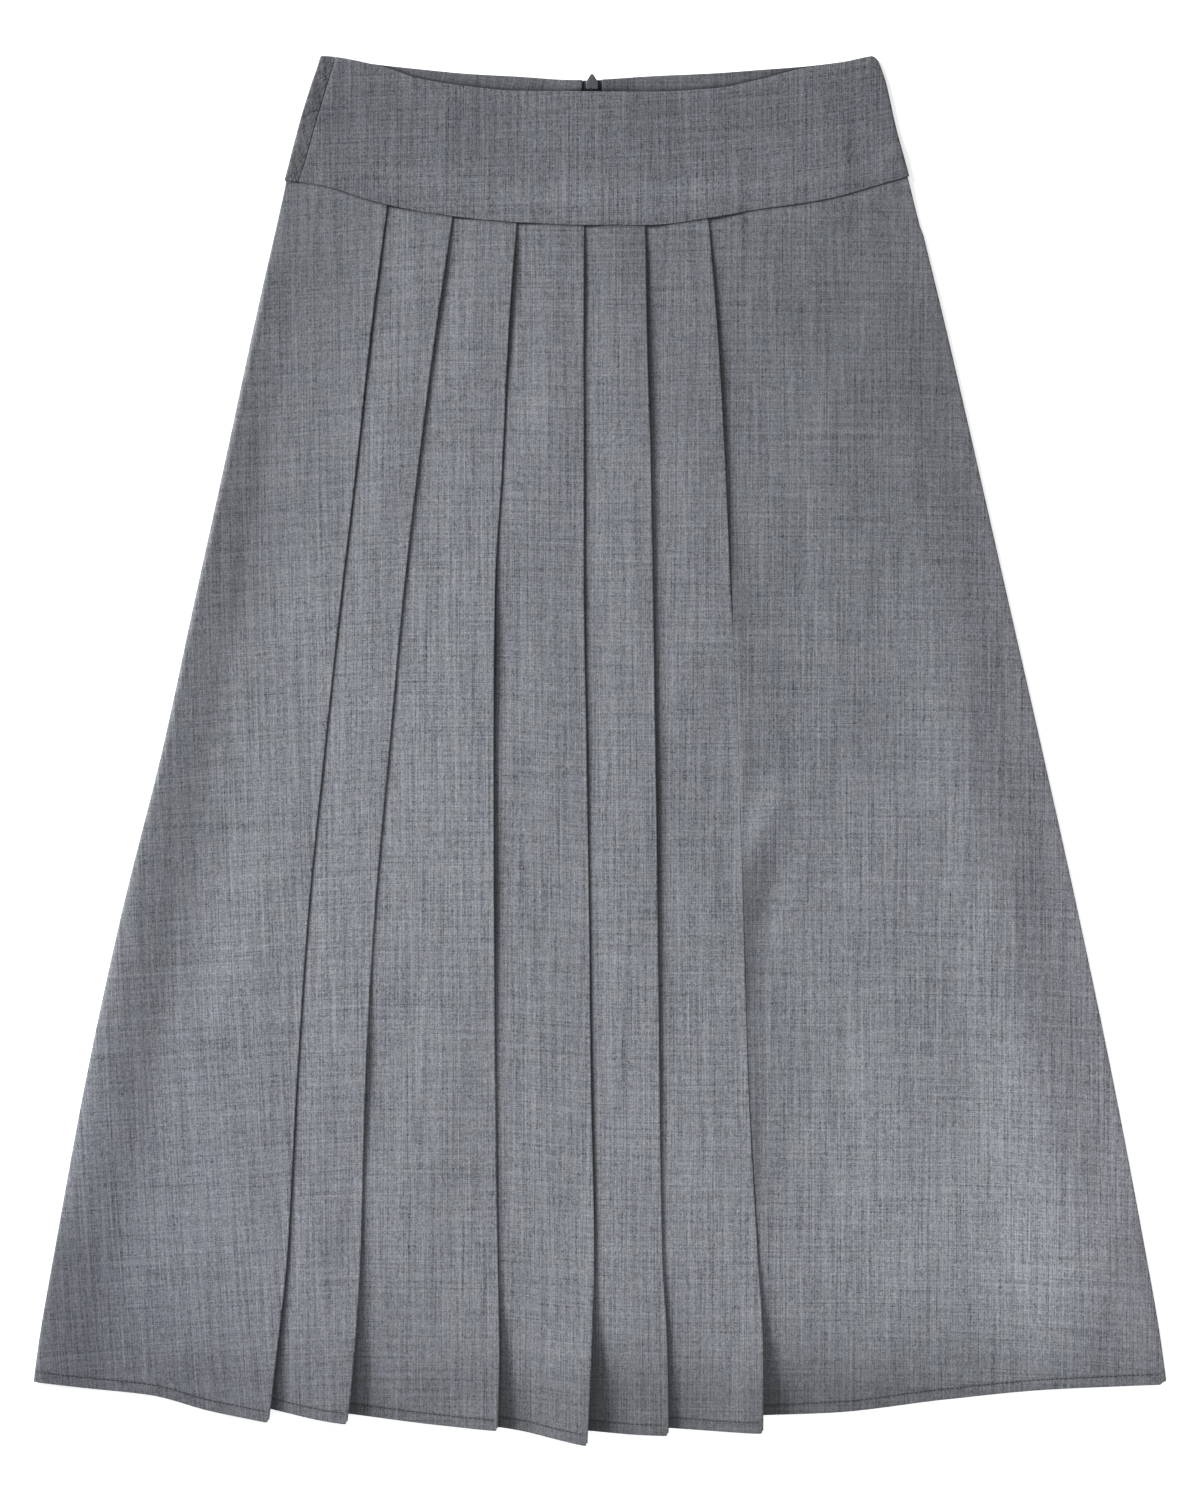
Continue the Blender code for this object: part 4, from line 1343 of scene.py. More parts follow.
    def pleat_columns(self, columns: Columns, face: str, following: str) -> None:
        """Adds a pleat's folded edge, the layer that turns back under it and the next face's hidden start.

        Args:
            columns: The columns so far.
            face: The face at the left of the pleat.
            following: The face at its right.
        """
        plan, heights = self.plan, self.heights
        edge = plan.folds[following]
        inner: Line = lambda y: plan.inner_fold(following, y)
        lowest: Surface = lambda x, y: heights.lowest_of_face(following, x, y)
        middle: Surface = lambda x, y: heights.lowest_of_face(face, x, y) + PLEAT_LAYER
        at = self.place(face, edge)
        detail = self.hem_detail(*at)
        columns.fold(at, middle(*at) + PLEAT_LAYER + detail, middle(*at) + detail, 1, self.grains[face].at)
        under = self.grains[face].under(edge)
        start = offset(edge, -self.before_edge[-1])
        for share in self.hidden:
            columns.lay(self.place(face, blend(start, inner, share)), middle, under)
        at = self.place(following, inner)
        columns.fold(at, middle(*at), lowest(*at), -1, self.grains[following].at)
        for share in self.hidden:
            columns.lay(self.place(following, blend(inner, edge, share)), lowest, self.grains[following].at)

    def wrapped_columns(self, columns: Columns, face: str, fold: Line, inward: int) -> None:
        """Adds the part of a face that lies on the back, beyond a side fold."""
        under = self.grains[face].under(fold)
        for by in self.wrap[::inward]:
            columns.lay(self.place(face, offset(fold, inward * by)), self.heights.back, under)

    def shell(self) -> ClothShell:
        """The whole front, from one side seam to the other."""
        plan, heights = self.plan, self.heights
        columns = Columns()
        self.wrapped_columns(columns, "left", plan.left_fold, 1)
        at = self.place("left", plan.left_fold)
        columns.fold(at, heights.back(*at), heights.top_of_face("left", *at), -1, self.grains["left"].at)
        for face, following in zip(FACES, FACES[1:]):
            self.face_columns(columns, face)
            self.pleat_columns(columns, face, following)
        last = FACES[-1]
        self.face_columns(columns, last)
        at = self.place(last, plan.right_fold)
        columns.fold(at, heights.top_of_face(last, *at), heights.back(*at), 1, self.grains[last].at)
        self.wrapped_columns(columns, last, plan.right_fold, -1)
        shell = columns.shell()
        away = shell.points[..., 1] - shell.points[-1, :, 1]
        in_hem = 1.0 - ramp(away, HEM_STITCH, HEM_STITCH + self.hem_step)
        shell.thickness = SHEET + (HEM_SHEET - SHEET) * in_hem
        shell.tone = self.tone(shell.points[..., 0], shell.points[..., 1], away)
        return shell

    def hem_lines(self) -> list[Array]:
        """The lines on the faces' outside where the hem's stitches lie."""
        row = self.shown_shell.outside(1)[-1 - self.near_hem.index(HEM_STITCH)]
        return [row[columns] for columns in self.shown]

    def build(self) -> Object:
        """Builds the front."""
        shell = self.shown_shell = self.shell()
        return self.lay(shell, "front_panel", "suiting", self.flat)


@dataclass
class FrontYoke(Piece):
    """The front yoke, from its seam near the left side over the right side fold and on to the back."""

    length: float = 90.0
    flat: Pair = (418.0, 112.0)
    near_edge: Distances = (0.0, 0.8, 1.8, 3.2, 5.0)
    row_step: float = 3.2
    column_step: float = 4.0
    width: float = 380.0
    wrap: Distances = (FOLD_FLAT, 7.0, SIDE_WRAP)
    edge_roll: float = 0.35
    roll_width: float = 4.0
    cut_at: Pair = (1200.0, 300.0)

    def build(self) -> Object:
        """Builds the front yoke."""
        plan, heights = self.plan, self.heights
        shares = rows_between(self.length, self.near_edge, self.near_edge, self.row_step)
        start, end = offset(plan.strip_seam, GAP / 2), offset(plan.yoke_right, -FOLD_FLAT)
        grain = Grain(*YOKE_TURNS, shift=self.cut_at)
        columns = Columns()
        for part in parts_across(self.width, self.column_step, (0.0,)):
            x, y = settle(blend(start, end, part), plan.yoke_top, plan.seam_below, shares)
            at_top, at_seam = (1.0 - ramp(away, 0.0, self.roll_width) for away in (y[0] - y, y - y[-1]))
            turned = self.edge_roll * at_top + self.edge_roll * at_seam
            columns.add(x, y, heights.front_yoke(x, y) - turned, grain.at(x, y))
        at = settle(plan.yoke_right, plan.front_waist, plan.seam_below, shares)
        columns.fold(at, heights.front_yoke(*at), heights.back_yoke(*at), 1, grain.at)
        under = grain.under(plan.yoke_right)
        for by in self.wrap:
            at = settle(offset(plan.yoke_right, -by), plan.back_waist, plan.seam_below, shares)
            columns.lay(at, heights.back_yoke, under)
        shell = columns.shell()
        # Soft patches of painted light and shade
        shell.tone = tone_of(YOKE_PAINTED_LIGHT, shell.points[..., 0], shell.points[..., 1])
        return self.lay(shell, "front_yoke", "suiting", self.flat)


@dataclass
class BackYoke(Piece):
    """Half of the back yoke. The left one goes on round the side fold to its seam on the front."""

    side: Side = Side.LEFT
    length: float = 96.0
    flat: Pair = (232.0, 116.0)
    near_edge: Distances = (0.0, 0.8, 2.0, 4.0)
    row_step: float = 3.6
    strip_row_step: float = 0.6
    column_step: float = 4.5
    width: float = 190.0
    near_zip: Distances = (0.0, 0.004, 0.011)
    cut_at: Pair = (900.0, 900.0)
    bias: float = -38.0
    strip_from: float = 4.0
    strip_columns: int = 14
    ripple_length: float = 2.2
    ripple_turn: float = 56.0
    ripple_height: float = 0.04

    def ripple(self, x: Array, y: Array) -> Array:
        """The slanting ripples of the strip beside the left side fold, from -1 to 1."""
        turn = math.radians(self.ripple_turn)
        across = y * math.cos(turn) - x * math.sin(turn)
        return np.sin(math.tau * across / self.ripple_length + RIPPLE_WAVER.at(x, y))

    def add_strip(self, columns: Columns, shares: Array, under: Surface) -> None:
        """Adds the strip that shows on the front, from the side fold to its seam.

        Args:
            columns: The columns so far.
            shares: Where its rows lie, from its top to its bottom.
            under: The place on the flat cloth at each point.
        """
        plan = self.plan
        start, end = offset(plan.yoke_left, self.strip_from), offset(plan.strip_seam, -GAP / 2)
        for part in range(self.strip_columns + 1):
            line = blend(start, end, part / self.strip_columns)
            x, y = settle(line, plan.front_waist, plan.seam_below, shares)
            ripple = self.ripple_height * self.ripple(x, y) * math.sin(math.pi * part / self.strip_columns)
            columns.add(x, y, self.heights.front_yoke(x, y) + ripple, under(x, y))

    def build(self) -> Object:
        """Builds this half."""
        plan, heights, side = self.plan, self.heights, self.side
        right = side is Side.RIGHT
        row_step = self.row_step if right else self.strip_row_step
        shares = rows_between(self.length, self.near_edge, self.near_edge, row_step)
        outer = offset(plan.yoke_right, -SIDE_WRAP - GAP) if right else offset(plan.yoke_left, FOLD_FLAT)
        inner = plan.slit_edge(side.value)
        bias = -self.bias if right else self.bias
        shift = (self.cut_at[0], self.cut_at[1] * side.value)
        grain = Grain(origin=(BACK_CENTRE, YOKE_MIDDLE), shift=shift, bias=bias)
        columns = Columns()
        for part in parts_across(self.width, self.column_step, self.near_zip):
            at = settle(blend(inner, outer, part), plan.back_waist, plan.seam_below, shares)
            columns.lay(at, heights.back_yoke, grain.at)
        if not right:
            at = settle(plan.yoke_left, plan.front_waist, plan.seam_below, shares)
            columns.fold(at, heights.back_yoke(*at), heights.front_yoke(*at), -1, grain.at)
            self.add_strip(columns, shares, grain.under(plan.yoke_left))
        shell = columns.shell()
        x, y = shell.points[..., 0], shell.points[..., 1]
        on_strip = 1.0 - ramp(x - plan.strip_seam(y), 0.0, FOLD_FLAT)
        from_seam = (plan.strip_seam(y) - x) / STRIP_SEAM_TONE[1]
        seam_line = STRIP_SEAM_TONE[0] * np.exp(-(from_seam**2)) * (1.0 - ramp(y, *STRIP_SEAM_FADES))
        # Soft patches of painted light and shade, and a dark seam line beside the strip
        shell.tone = tone_of(YOKE_PAINTED_LIGHT, x, y) * (1.0 - seam_line * on_strip)
        # The strip is darker, with painted light and shade along its slanting ripples
        shell.tone *= 1.0 + (STRIP_TONE - 1.0 + RIPPLE_PAINTED_LIGHT_AND_SHADE * self.ripple(x, y)) * on_strip
        return self.lay(shell, f"back_yoke_{side.word}", "suiting", self.flat)


@dataclass
class BackPanel(Piece):
    """Half of the back of the skirt, from the centre seam to the side seam."""

    side: Side = Side.LEFT
    length: float = 780.0
    flat: Pair = (385.0, 822.0)
    near_top: Distances = (0.0, 3.0, 7.0, 12.0, 18.0)
    near_hem: Distances = NEAR_HEM
    row_step: float = 8.0
    column_step: float = 7.5
    width: float = 360.0
    cut_at: Pair = (2100.0, 150.0)
    cut_apart: float = 700.0
    near_centre: Distances = (0.0, 0.003, 0.009)
    near_side: Distances = (0.991, 0.997, 1.0)

    def build(self) -> Object:
        """Builds this half."""
        plan, heights, side = self.plan, self.heights, self.side
        shares = rows_between(self.length, self.near_top, self.near_hem, self.row_step)
        right = side is Side.RIGHT
        edge = offset(plan.right_fold, -SIDE_WRAP - GAP) if right else offset(plan.left_fold, SIDE_WRAP + GAP)
        grain = Grain(shift=(self.cut_at[0] + self.cut_apart * side.value, self.cut_at[1]))
        columns = Columns()
        parts = parts_across(self.width, self.column_step, self.near_centre)
        inner = plan.slit_edge(side.value)
        for part in (*parts[:-1], *self.near_side):
            at = settle(blend(inner, edge, part), plan.tucked_top, lambda x, _: plan.back_hem(x), shares)
            columns.lay(at, heights.back, grain.at)
        self.shell = columns.shell()
        return self.lay(self.shell, f"back_panel_{side.word}", "suiting", self.flat)

    def hem_line(self) -> Array:
        """The line on the outside where the hem's stitches lie."""
        return self.shell.outside(-1)[-1 - self.near_hem.index(HEM_STITCH)]


@dataclass
class BackFacing(Piece):
    """Half of the facing inside the back of the yoke, set back from the zip."""

    side: Side = Side.LEFT
    length: float = FACING_DEPTH
    flat: Pair = (205.0, 74.0)
    near_edge: Distances = (0.0, 0.8, 2.0, 4.0)
    row_step: float = 1.3
    column_step: float = 4.5
    width: float = 180.0
    near_zip: Distances = (0.0, 0.005, 0.012)
    cut_at: Pair = (3300.0, 500.0)
    turn: float = -12.0

    def build(self) -> Object:
        """Builds this half."""
        plan, side = self.plan, self.side
        shares = rows_between(self.length, self.near_edge, self.near_edge, self.row_step)
        inner: Line = lambda y: BACK_CENTRE + side.value * FACING_SETBACK + 0.0 * y
        setback = SIDE_WRAP + FACING_SIDE_SETBACK
        outer = offset(plan.yoke_right, -setback) if side is Side.RIGHT else offset(plan.yoke_left, setback)
        bias = self.turn if side is Side.LEFT else 0.0
        shift = (self.cut_at[0], self.cut_at[1] * side.value)
        grain = Grain(origin=(BACK_CENTRE, YOKE_MIDDLE), shift=shift, bias=bias)
        columns = Columns()
        bottom: Surface = lambda x, _: plan.back_waist(x) - FACING_DEPTH
        for part in parts_across(self.width, self.column_step, self.near_zip):
            at = settle(blend(inner, outer, part), plan.back_waist, bottom, shares)
            columns.lay(at, self.heights.facing, grain.at)
        shell = columns.shell()
        above = np.maximum(shell.points[..., 1] - plan.yoke_top(shell.points[..., 0]), 0.0)
        shell.tone = np.ones_like(above)
        # A painted shadow of the front's waist edge on the facing
        for dark, width in WAIST_PAINTED_SHADOWS:
            shell.tone -= dark * np.exp(-((above / width) ** 2))
        if side is Side.LEFT:
            beside = inner(shell.points[..., 1]) - shell.points[..., 0]
            shell.tone -= SLOT_TONE[0] * np.exp(-((beside / SLOT_TONE[1]) ** 2))
        return self.lay(shell, f"back_facing_{side.word}", "facing", self.flat)


@dataclass
class ZipTape(Piece):
    """One tape of the zip. It leaves room for the slider at its top."""

    side: Side = Side.LEFT
    length: float = 204.0
    flat: Pair = (12.0, length)
    near_end: Distances = (0.0, 1.5, 3.5, 6.0, 9.0, 13.0)
    row_step: float = 4.0
    parts: Distances = (0.0, 0.06, 0.2, 0.35, 0.5, 0.65, 0.8, 0.94, 1.0)
    cut_apart: float = 90.0

    def inner(self, y: Array) -> Array:
        """The edge beside the coil, which widens beside the slider."""
        half = COIL_HALF + GAP
        wider = SLIDER_WIDTH / 2 + GAP - half
        return BACK_CENTRE + self.side.value * (half + wider * ramp(y, *TAPE_NARROWS))

    def build(self) -> Object:
        """Builds this tape."""
        plan = self.plan
        shares = rows_between(self.length, self.near_end, self.near_end, self.row_step)
        grain = Grain(shift=(0.0, self.cut_apart * self.side.value))
        columns = Columns()
        outer: Line = lambda y: BACK_CENTRE + self.side.value * TAPE_HALF + 0.0 * y
        top: Line = lambda x: plan.back_waist(x) - TAPE_SETBACK
        bottom: Surface = lambda x, _: ZIP_BOTTOM + 0.0 * x
        for part in self.parts:
            at = settle(blend(self.inner, outer, part), top, bottom, shares)
            columns.lay(at, self.heights.tape, grain.at)
        name = f"zip_tape_{self.side.word}"
        return self.lay(columns.shell(), name, "zip_tape", self.flat)


@dataclass
class ZipCoil(Piece):
    """The closed coil between the tapes: two rows of nylon turns that lie in each other."""

    pitch: float = 1.25
    wire: float = 0.24
    half_width: float = COIL_HALF - wire
    half_height: float = 0.3
    steps: int = 14
    sides: int = 6
    in_slider: float = 1.5

    def build(self) -> Object:
        """Builds the coil as one flattened spiral."""
        bottom, top = ZIP_BOTTOM + STOP_LENGTH + GAP, SLIDER_BOTTOM + self.in_slider
        turns = (top - bottom - 2.0 * self.wire) / self.pitch
        angle = np.linspace(0.0, math.tau * turns, round(turns * self.steps))
        y = bottom + self.wire + self.pitch * angle / math.tau
        x = BACK_CENTRE + self.half_width * np.cos(angle)
        z = self.heights.tape(x, y) + self.half_height * np.sin(angle)
        spiral = tube("zip_coil_turns", np.stack([x, y, z], axis=1), self.wire, self.sides)
        return self.fit(spiral, "zip_coil", "zip_coil")


@dataclass
class ZipStop(Piece):
    """The stop: a metal clamp bent round both rows at the bottom of the coil."""

    edge: float = 0.22
    notch: float = 0.5
    notch_end: float = 0.35
    notch_depth: float = 0.6

    def build(self) -> Object:
        """Builds the clamp."""
        middle = float(self.heights.tape(np.array(BACK_CENTRE), np.array(ZIP_BOTTOM + STOP_LENGTH / 2.0)))
        outline = mirrored((
            (COIL_HALF, 0.0),
            (COIL_HALF, STOP_LENGTH),
            (self.notch, STOP_LENGTH),
            (self.notch_end, STOP_LENGTH - self.notch_depth),
        ))
        flat = Matrix.Translation((BACK_CENTRE, ZIP_BOTTOM, middle - CLOTH / 2.0))
        return self.fit(plate("zip_stop_clamp", outline, CLOTH, self.edge, flat), "zip_metal", "zip_stop")


@dataclass
class ZipSlider(Piece):
    """The slider: a wedge on top of the tapes, with a bail below it that reaches out through the back."""

    edge: float = 0.45
    neck: float = 1.5
    neck_depth: float = 0.7
    corner: float = 0.5
    shoulder_in: float = 0.9
    shoulder_up: float = 2.2
    bail_edge: float = 0.14
    bail_corner: float = 0.3
    bail_in_slider: float = 0.4

    def build(self) -> Object:
        """Builds the slider and its bail as one casting."""
        underside = CLOTH + PULL_LIFT + GAP
        half, corner = SLIDER_WIDTH / 2.0, self.corner
        wedge = mirrored((
            (self.neck - corner, SLIDER_BOTTOM + self.neck_depth),
            (self.neck, SLIDER_BOTTOM),
            (half - corner, SLIDER_BOTTOM),
            (half, SLIDER_BOTTOM + corner),
            (half, SLIDER_SHOULDER),
            (half - self.shoulder_in, SLIDER_SHOULDER + self.shoulder_up),
            (SLIDER_TIP_HALF, SLIDER_TIP),
        ))
        flat = Matrix.Translation((BACK_CENTRE, 0.0, underside))
        body = plate("slider_body", wedge, SLIDER_HEIGHT, self.edge, flat)
        high, corner, sunk = PULL_AXIS_Y + BAIL_HALF_LENGTH, self.bail_corner, underside + self.bail_in_slider
        loop = (
            (high - corner, BAIL_BOTTOM),
            (high, BAIL_BOTTOM + corner),
            (high, sunk),
            (high - BAIL_LEG, sunk),
            (high - BAIL_LEG, BAIL_BOTTOM + BAIL_BAR),
        )
        side = BACK_CENTRE - BAIL_WIDTH / 2
        upright = Matrix(((0, 0, 1, side), (1, 0, 0, 0), (0, 1, 0, 0), (0, 0, 0, 1)))
        bail = plate("slider_bail", mirrored(loop, PULL_AXIS_Y), BAIL_WIDTH, self.bail_edge, upright)
        return self.fit(joined("zip_slider_casting", [body, bail]), "zip_metal", "zip_slider")


@dataclass
class ZipPull(Piece):
    """The pull tab, which hangs in the bail by the bar at the end of its window and lies under the back."""

    edge: float = 0.16
    corner: float = 0.29
    soft_corner: float = 0.2
    window_corner: float = 0.4
    points: int = 48

    def rounded(self, half: float, low: float, high: float, corner: float, taper: float) -> Array:
        """A rounded outline, anticlockwise, with its points at even turns.

        Args:
            half: Half of its width at the top.
            low: Its bottom end.
            high: Its top end.
            corner: The radius of its corners.
            taper: How much narrower each side is at the bottom.

        Returns:
            The outline's points.
        """
        centres = ((half - corner, high - corner), (-half + corner, high - corner))
        centres += ((-half + corner + taper, low + corner), (half - corner - taper, low + corner))
        arc = self.points // 4
        outline = []
        for quarter, (x, y) in enumerate(centres):
            for step in range(arc):
                angle = math.pi / 2.0 * (quarter + step / (arc - 1))
                outline.append((x + corner * math.cos(angle), y + corner * math.sin(angle)))
        return np.array(outline)

    def build(self) -> Object:
        """Builds the tab as a ring round its window, with soft edges."""
        half, bar, tail = PULL_WIDTH / 2.0, PULL_BAR / 2.0, -PULL_LENGTH
        thick, e = PULL_THICKNESS / 2.0, self.edge
        rings = []
        for grow, z in ((0.0, -thick + e), (0.0, thick - e), (e, thick), (e, -thick)):
            low, high = -bar - PULL_WINDOW - grow, -bar + grow / 2
            ring = self.rounded(PULL_WINDOW_HALF + grow, low, high, self.window_corner + grow, 0.0)
            rings.append(np.column_stack([ring, np.full(len(ring), z)]))
        window_end = rings.pop()
        for shrink, z in ((e, thick), (0.0, thick - e), (0.0, -thick + e), (e, -thick)):
            corner = self.soft_corner if shrink else self.corner
            ring = self.rounded(half - shrink, tail + shrink, bar - shrink / 2, corner, PULL_TAPER)
            rings.append(np.column_stack([ring, np.full(len(ring), z)]))
        rings.append(window_end)
        points = np.array(rings) + np.array((BACK_CENTRE, PULL_AXIS_Y, PULL_AXIS_Z))
        count, around = points.shape[:2]
        index = np.arange(count * around).reshape(count, around)
        made = solid("zip_pull_tab", points.reshape(-1, 3), round_quads(np.vstack([index, index[:1]])))
        return self.fit(made, "zip_metal", "zip_pull")


def mirrored(half: Outline, middle: float = 0.0) -> Outline:
    """A whole outline from its right half, anticlockwise."""
    return (*half, *((2.0 * middle - x, y) for x, y in reversed(half)))


def smoothed(mesh: bpy.types.Mesh, angle: float) -> Object:
    """An object of a mesh that is shaded smooth, but for the edges that turn by more than an angle."""
    mesh.shade_smooth()
    mesh.set_sharp_from_angle(angle=math.radians(angle))
    return placed(mesh.name, mesh)


def solid(name: str, points: Array, faces: list[list[int]]) -> Object:
    """A closed mesh with its faces turned outwards.

    Args:
        name: The piece's name.
        points: Its points, in millimetres.
        faces: The points of each face.

    Returns:
        The new object.
    """
    mesh = bpy.data.meshes.new(name)
    mesh.from_pydata(points * MM, [], faces)
    bm = bmesh.new()
    bm.from_mesh(mesh)
    bmesh.ops.recalc_face_normals(bm, faces=bm.faces)
    bm.to_mesh(mesh)
    bm.free()
    return smoothed(mesh, SOLID_SHARP)


def plate(name: str, outline: Outline, height: float, edge: float, place: Matrix) -> Object:
    """A plate with rounded edges, cut to an outline.

    Args:
        name: The piece's name.
        outline: Its points, in millimetres.
        height: Its thickness.
        edge: How far its edges are rounded off.
        place: Where it goes.

    Returns:
        The new object.
    """
    bm = bmesh.new()
    face = bm.faces.new([bm.verts.new((x, y, 0.0)) for x, y in outline])
    made = bmesh.ops.extrude_face_region(bm, geom=[face])
    tops = [part for part in made["geom"] if isinstance(part, bmesh.types.BMVert)]
    bmesh.ops.translate(bm, vec=(0.0, 0.0, height), verts=tops)
    bmesh.ops.recalc_face_normals(bm, faces=bm.faces)
    sharp = [e for e in bm.edges if e.calc_face_angle(0.0) > math.radians(PLATE_ROUNDED)]
    bmesh.ops.bevel(bm, geom=sharp, offset=edge, **PLATE_EDGE)
    bmesh.ops.transform(bm, matrix=Matrix.Scale(MM, 4) @ place, verts=bm.verts)
    mesh = bpy.data.meshes.new(name)
    bm.to_mesh(mesh)
    bm.free()
    return smoothed(mesh, PLATE_SHARP)


def round_quads(index: Array) -> list[list[int]]:
    """The faces between closed rings of points, one ring to a row."""
    beside = np.roll(index, -1, axis=1)
    return np.stack([index[:-1], beside[:-1], beside[1:], index[1:]], axis=2).reshape(-1, 4).tolist()


def tube(name: str, path: Array, radius: float, sides: int) -> Object:
    """A round wire along a path, with its ends closed.

    Args:
        name: The piece's name.
        path: The points of its middle.
        radius: Its radius.
        sides: How many sides its round has.

    Returns:
        The new object.
    """
    ahead = np.gradient(path, axis=0)
    ahead /= np.linalg.norm(ahead, axis=1, keepdims=True)
    across = np.cross(ahead, np.array((0.0, 0.0, 1.0)))
    across /= np.maximum(np.linalg.norm(across, axis=1, keepdims=True), TINY)
    up = np.cross(across, ahead)
    turns = math.tau * np.arange(sides) / sides
    ring = np.cos(turns)[None, :, None] * across[:, None] + np.sin(turns)[None, :, None] * up[:, None]
    points = path[:, None] + radius * ring
    index = np.arange(len(path) * sides).reshape(len(path), sides)
    faces = [*round_quads(index), index[0].tolist(), index[-1].tolist()]
    return solid(name, points.reshape(-1, 3), faces)


def joined(name: str, parts: list[Object]) -> Object:
    """Several objects as one piece.

    Args:
        name: The piece's name.
        parts: The objects, which are taken up by it.

    Returns:
        The new object.
    """
    bm = bmesh.new()
    for part in parts:
        bm.from_mesh(part.data)
    mesh = parts[0].data.copy()
    bm.to_mesh(mesh)
    bm.free()
    mesh.name = name
    for part in parts:
        bpy.data.objects.remove(part, do_unlink=True)
    return placed(name, mesh)


# The points of a stitch: how far along it they are, how high it lies there and how thick it is,
# as shares of its length and of the thread's thickness
STITCH_PLACES = np.array([0.0, 0.12, 0.5, 0.88, 1.0])
STITCH_RISE = np.array([-0.9, 0.1, 0.45, 0.1, -0.9])
STITCH_ROUND = np.array([0.35, 0.9, 1.0, 0.9, 0.35])


@dataclass
class HemStitches(Piece):
    """The line of stitches that holds a hem up, as it shows on the outside of the cloth."""

    stitch: float = 2.5
    pitch: float = 3.0
    first: float = 1.0
    thread: float = 0.36
    sunk: float = 0.14
    sides: int = 5
    skin: int = 1
    uneven: float = 0.12
    seed: int = 41

    def one(self, path: Array) -> Array:
        """The rings of points of one stitch, which is thin at both ends, along the points of its path."""
        turns = math.tau * np.arange(self.sides) / self.sides
        ahead = path[-1] - path[0]
        across = np.array([-ahead[1], ahead[0], 0.0]) / np.hypot(ahead[0], ahead[1])
        ring = np.cos(turns)[:, None] * across + np.sin(turns)[:, None] * np.array([0.0, 0.0, 1.0])
        return path[:, None] + (self.thread * STITCH_ROUND)[:, None, None] * ring

    def build(self, name: str, lines: list[Array]) -> Object:
        """Builds the stitches along some lines on the cloth's surface.

        Args:
            name: The piece's name.
            lines: The points of each line, in order.

        Returns:
            The new object.
        """
        random = np.random.default_rng(self.seed)
        points, faces = [], []
        size = len(STITCH_PLACES) * self.sides
        for line in lines:
            run = np.concatenate([[0.0], np.cumsum(np.linalg.norm(np.diff(line, axis=0), axis=1))])
            for start in np.arange(self.first, run[-1] - self.pitch, self.pitch):
                at = start + random.uniform(-self.uneven, self.uneven) + self.stitch * STITCH_PLACES
                path = np.stack([np.interp(at, run, line[:, axis]) for axis in range(3)], axis=1)
                path[:, 1] += random.uniform(-self.uneven, self.uneven)
                path[:, 2] += self.skin * (STITCH_RISE * self.thread - self.sunk)
                index = len(points) * size + np.arange(size).reshape(-1, self.sides)
                faces += [*round_quads(index), index[0, ::-1].tolist(), index[-1].tolist()]
                points.append(self.one(path).reshape(-1, 3))
        return self.fit(solid(name, np.concatenate(points), faces), "suiting")


Socket = bpy.types.NodeSocket
NodeTree = bpy.types.NodeTree
Material = bpy.types.Material
PRINCIPLED = "Principled BSDF"
NODE_WIDTH = 190.0
NODE_HEIGHT = 70.0
NODE_ROWS = 9
GROUP_WIDTH = 2400.0

# How far apart the seeds put two noises, and how rough their finer waves are
SEED_STEPS = (7.3, 3.1)
CLOUD_ROUGHNESS = 0.55


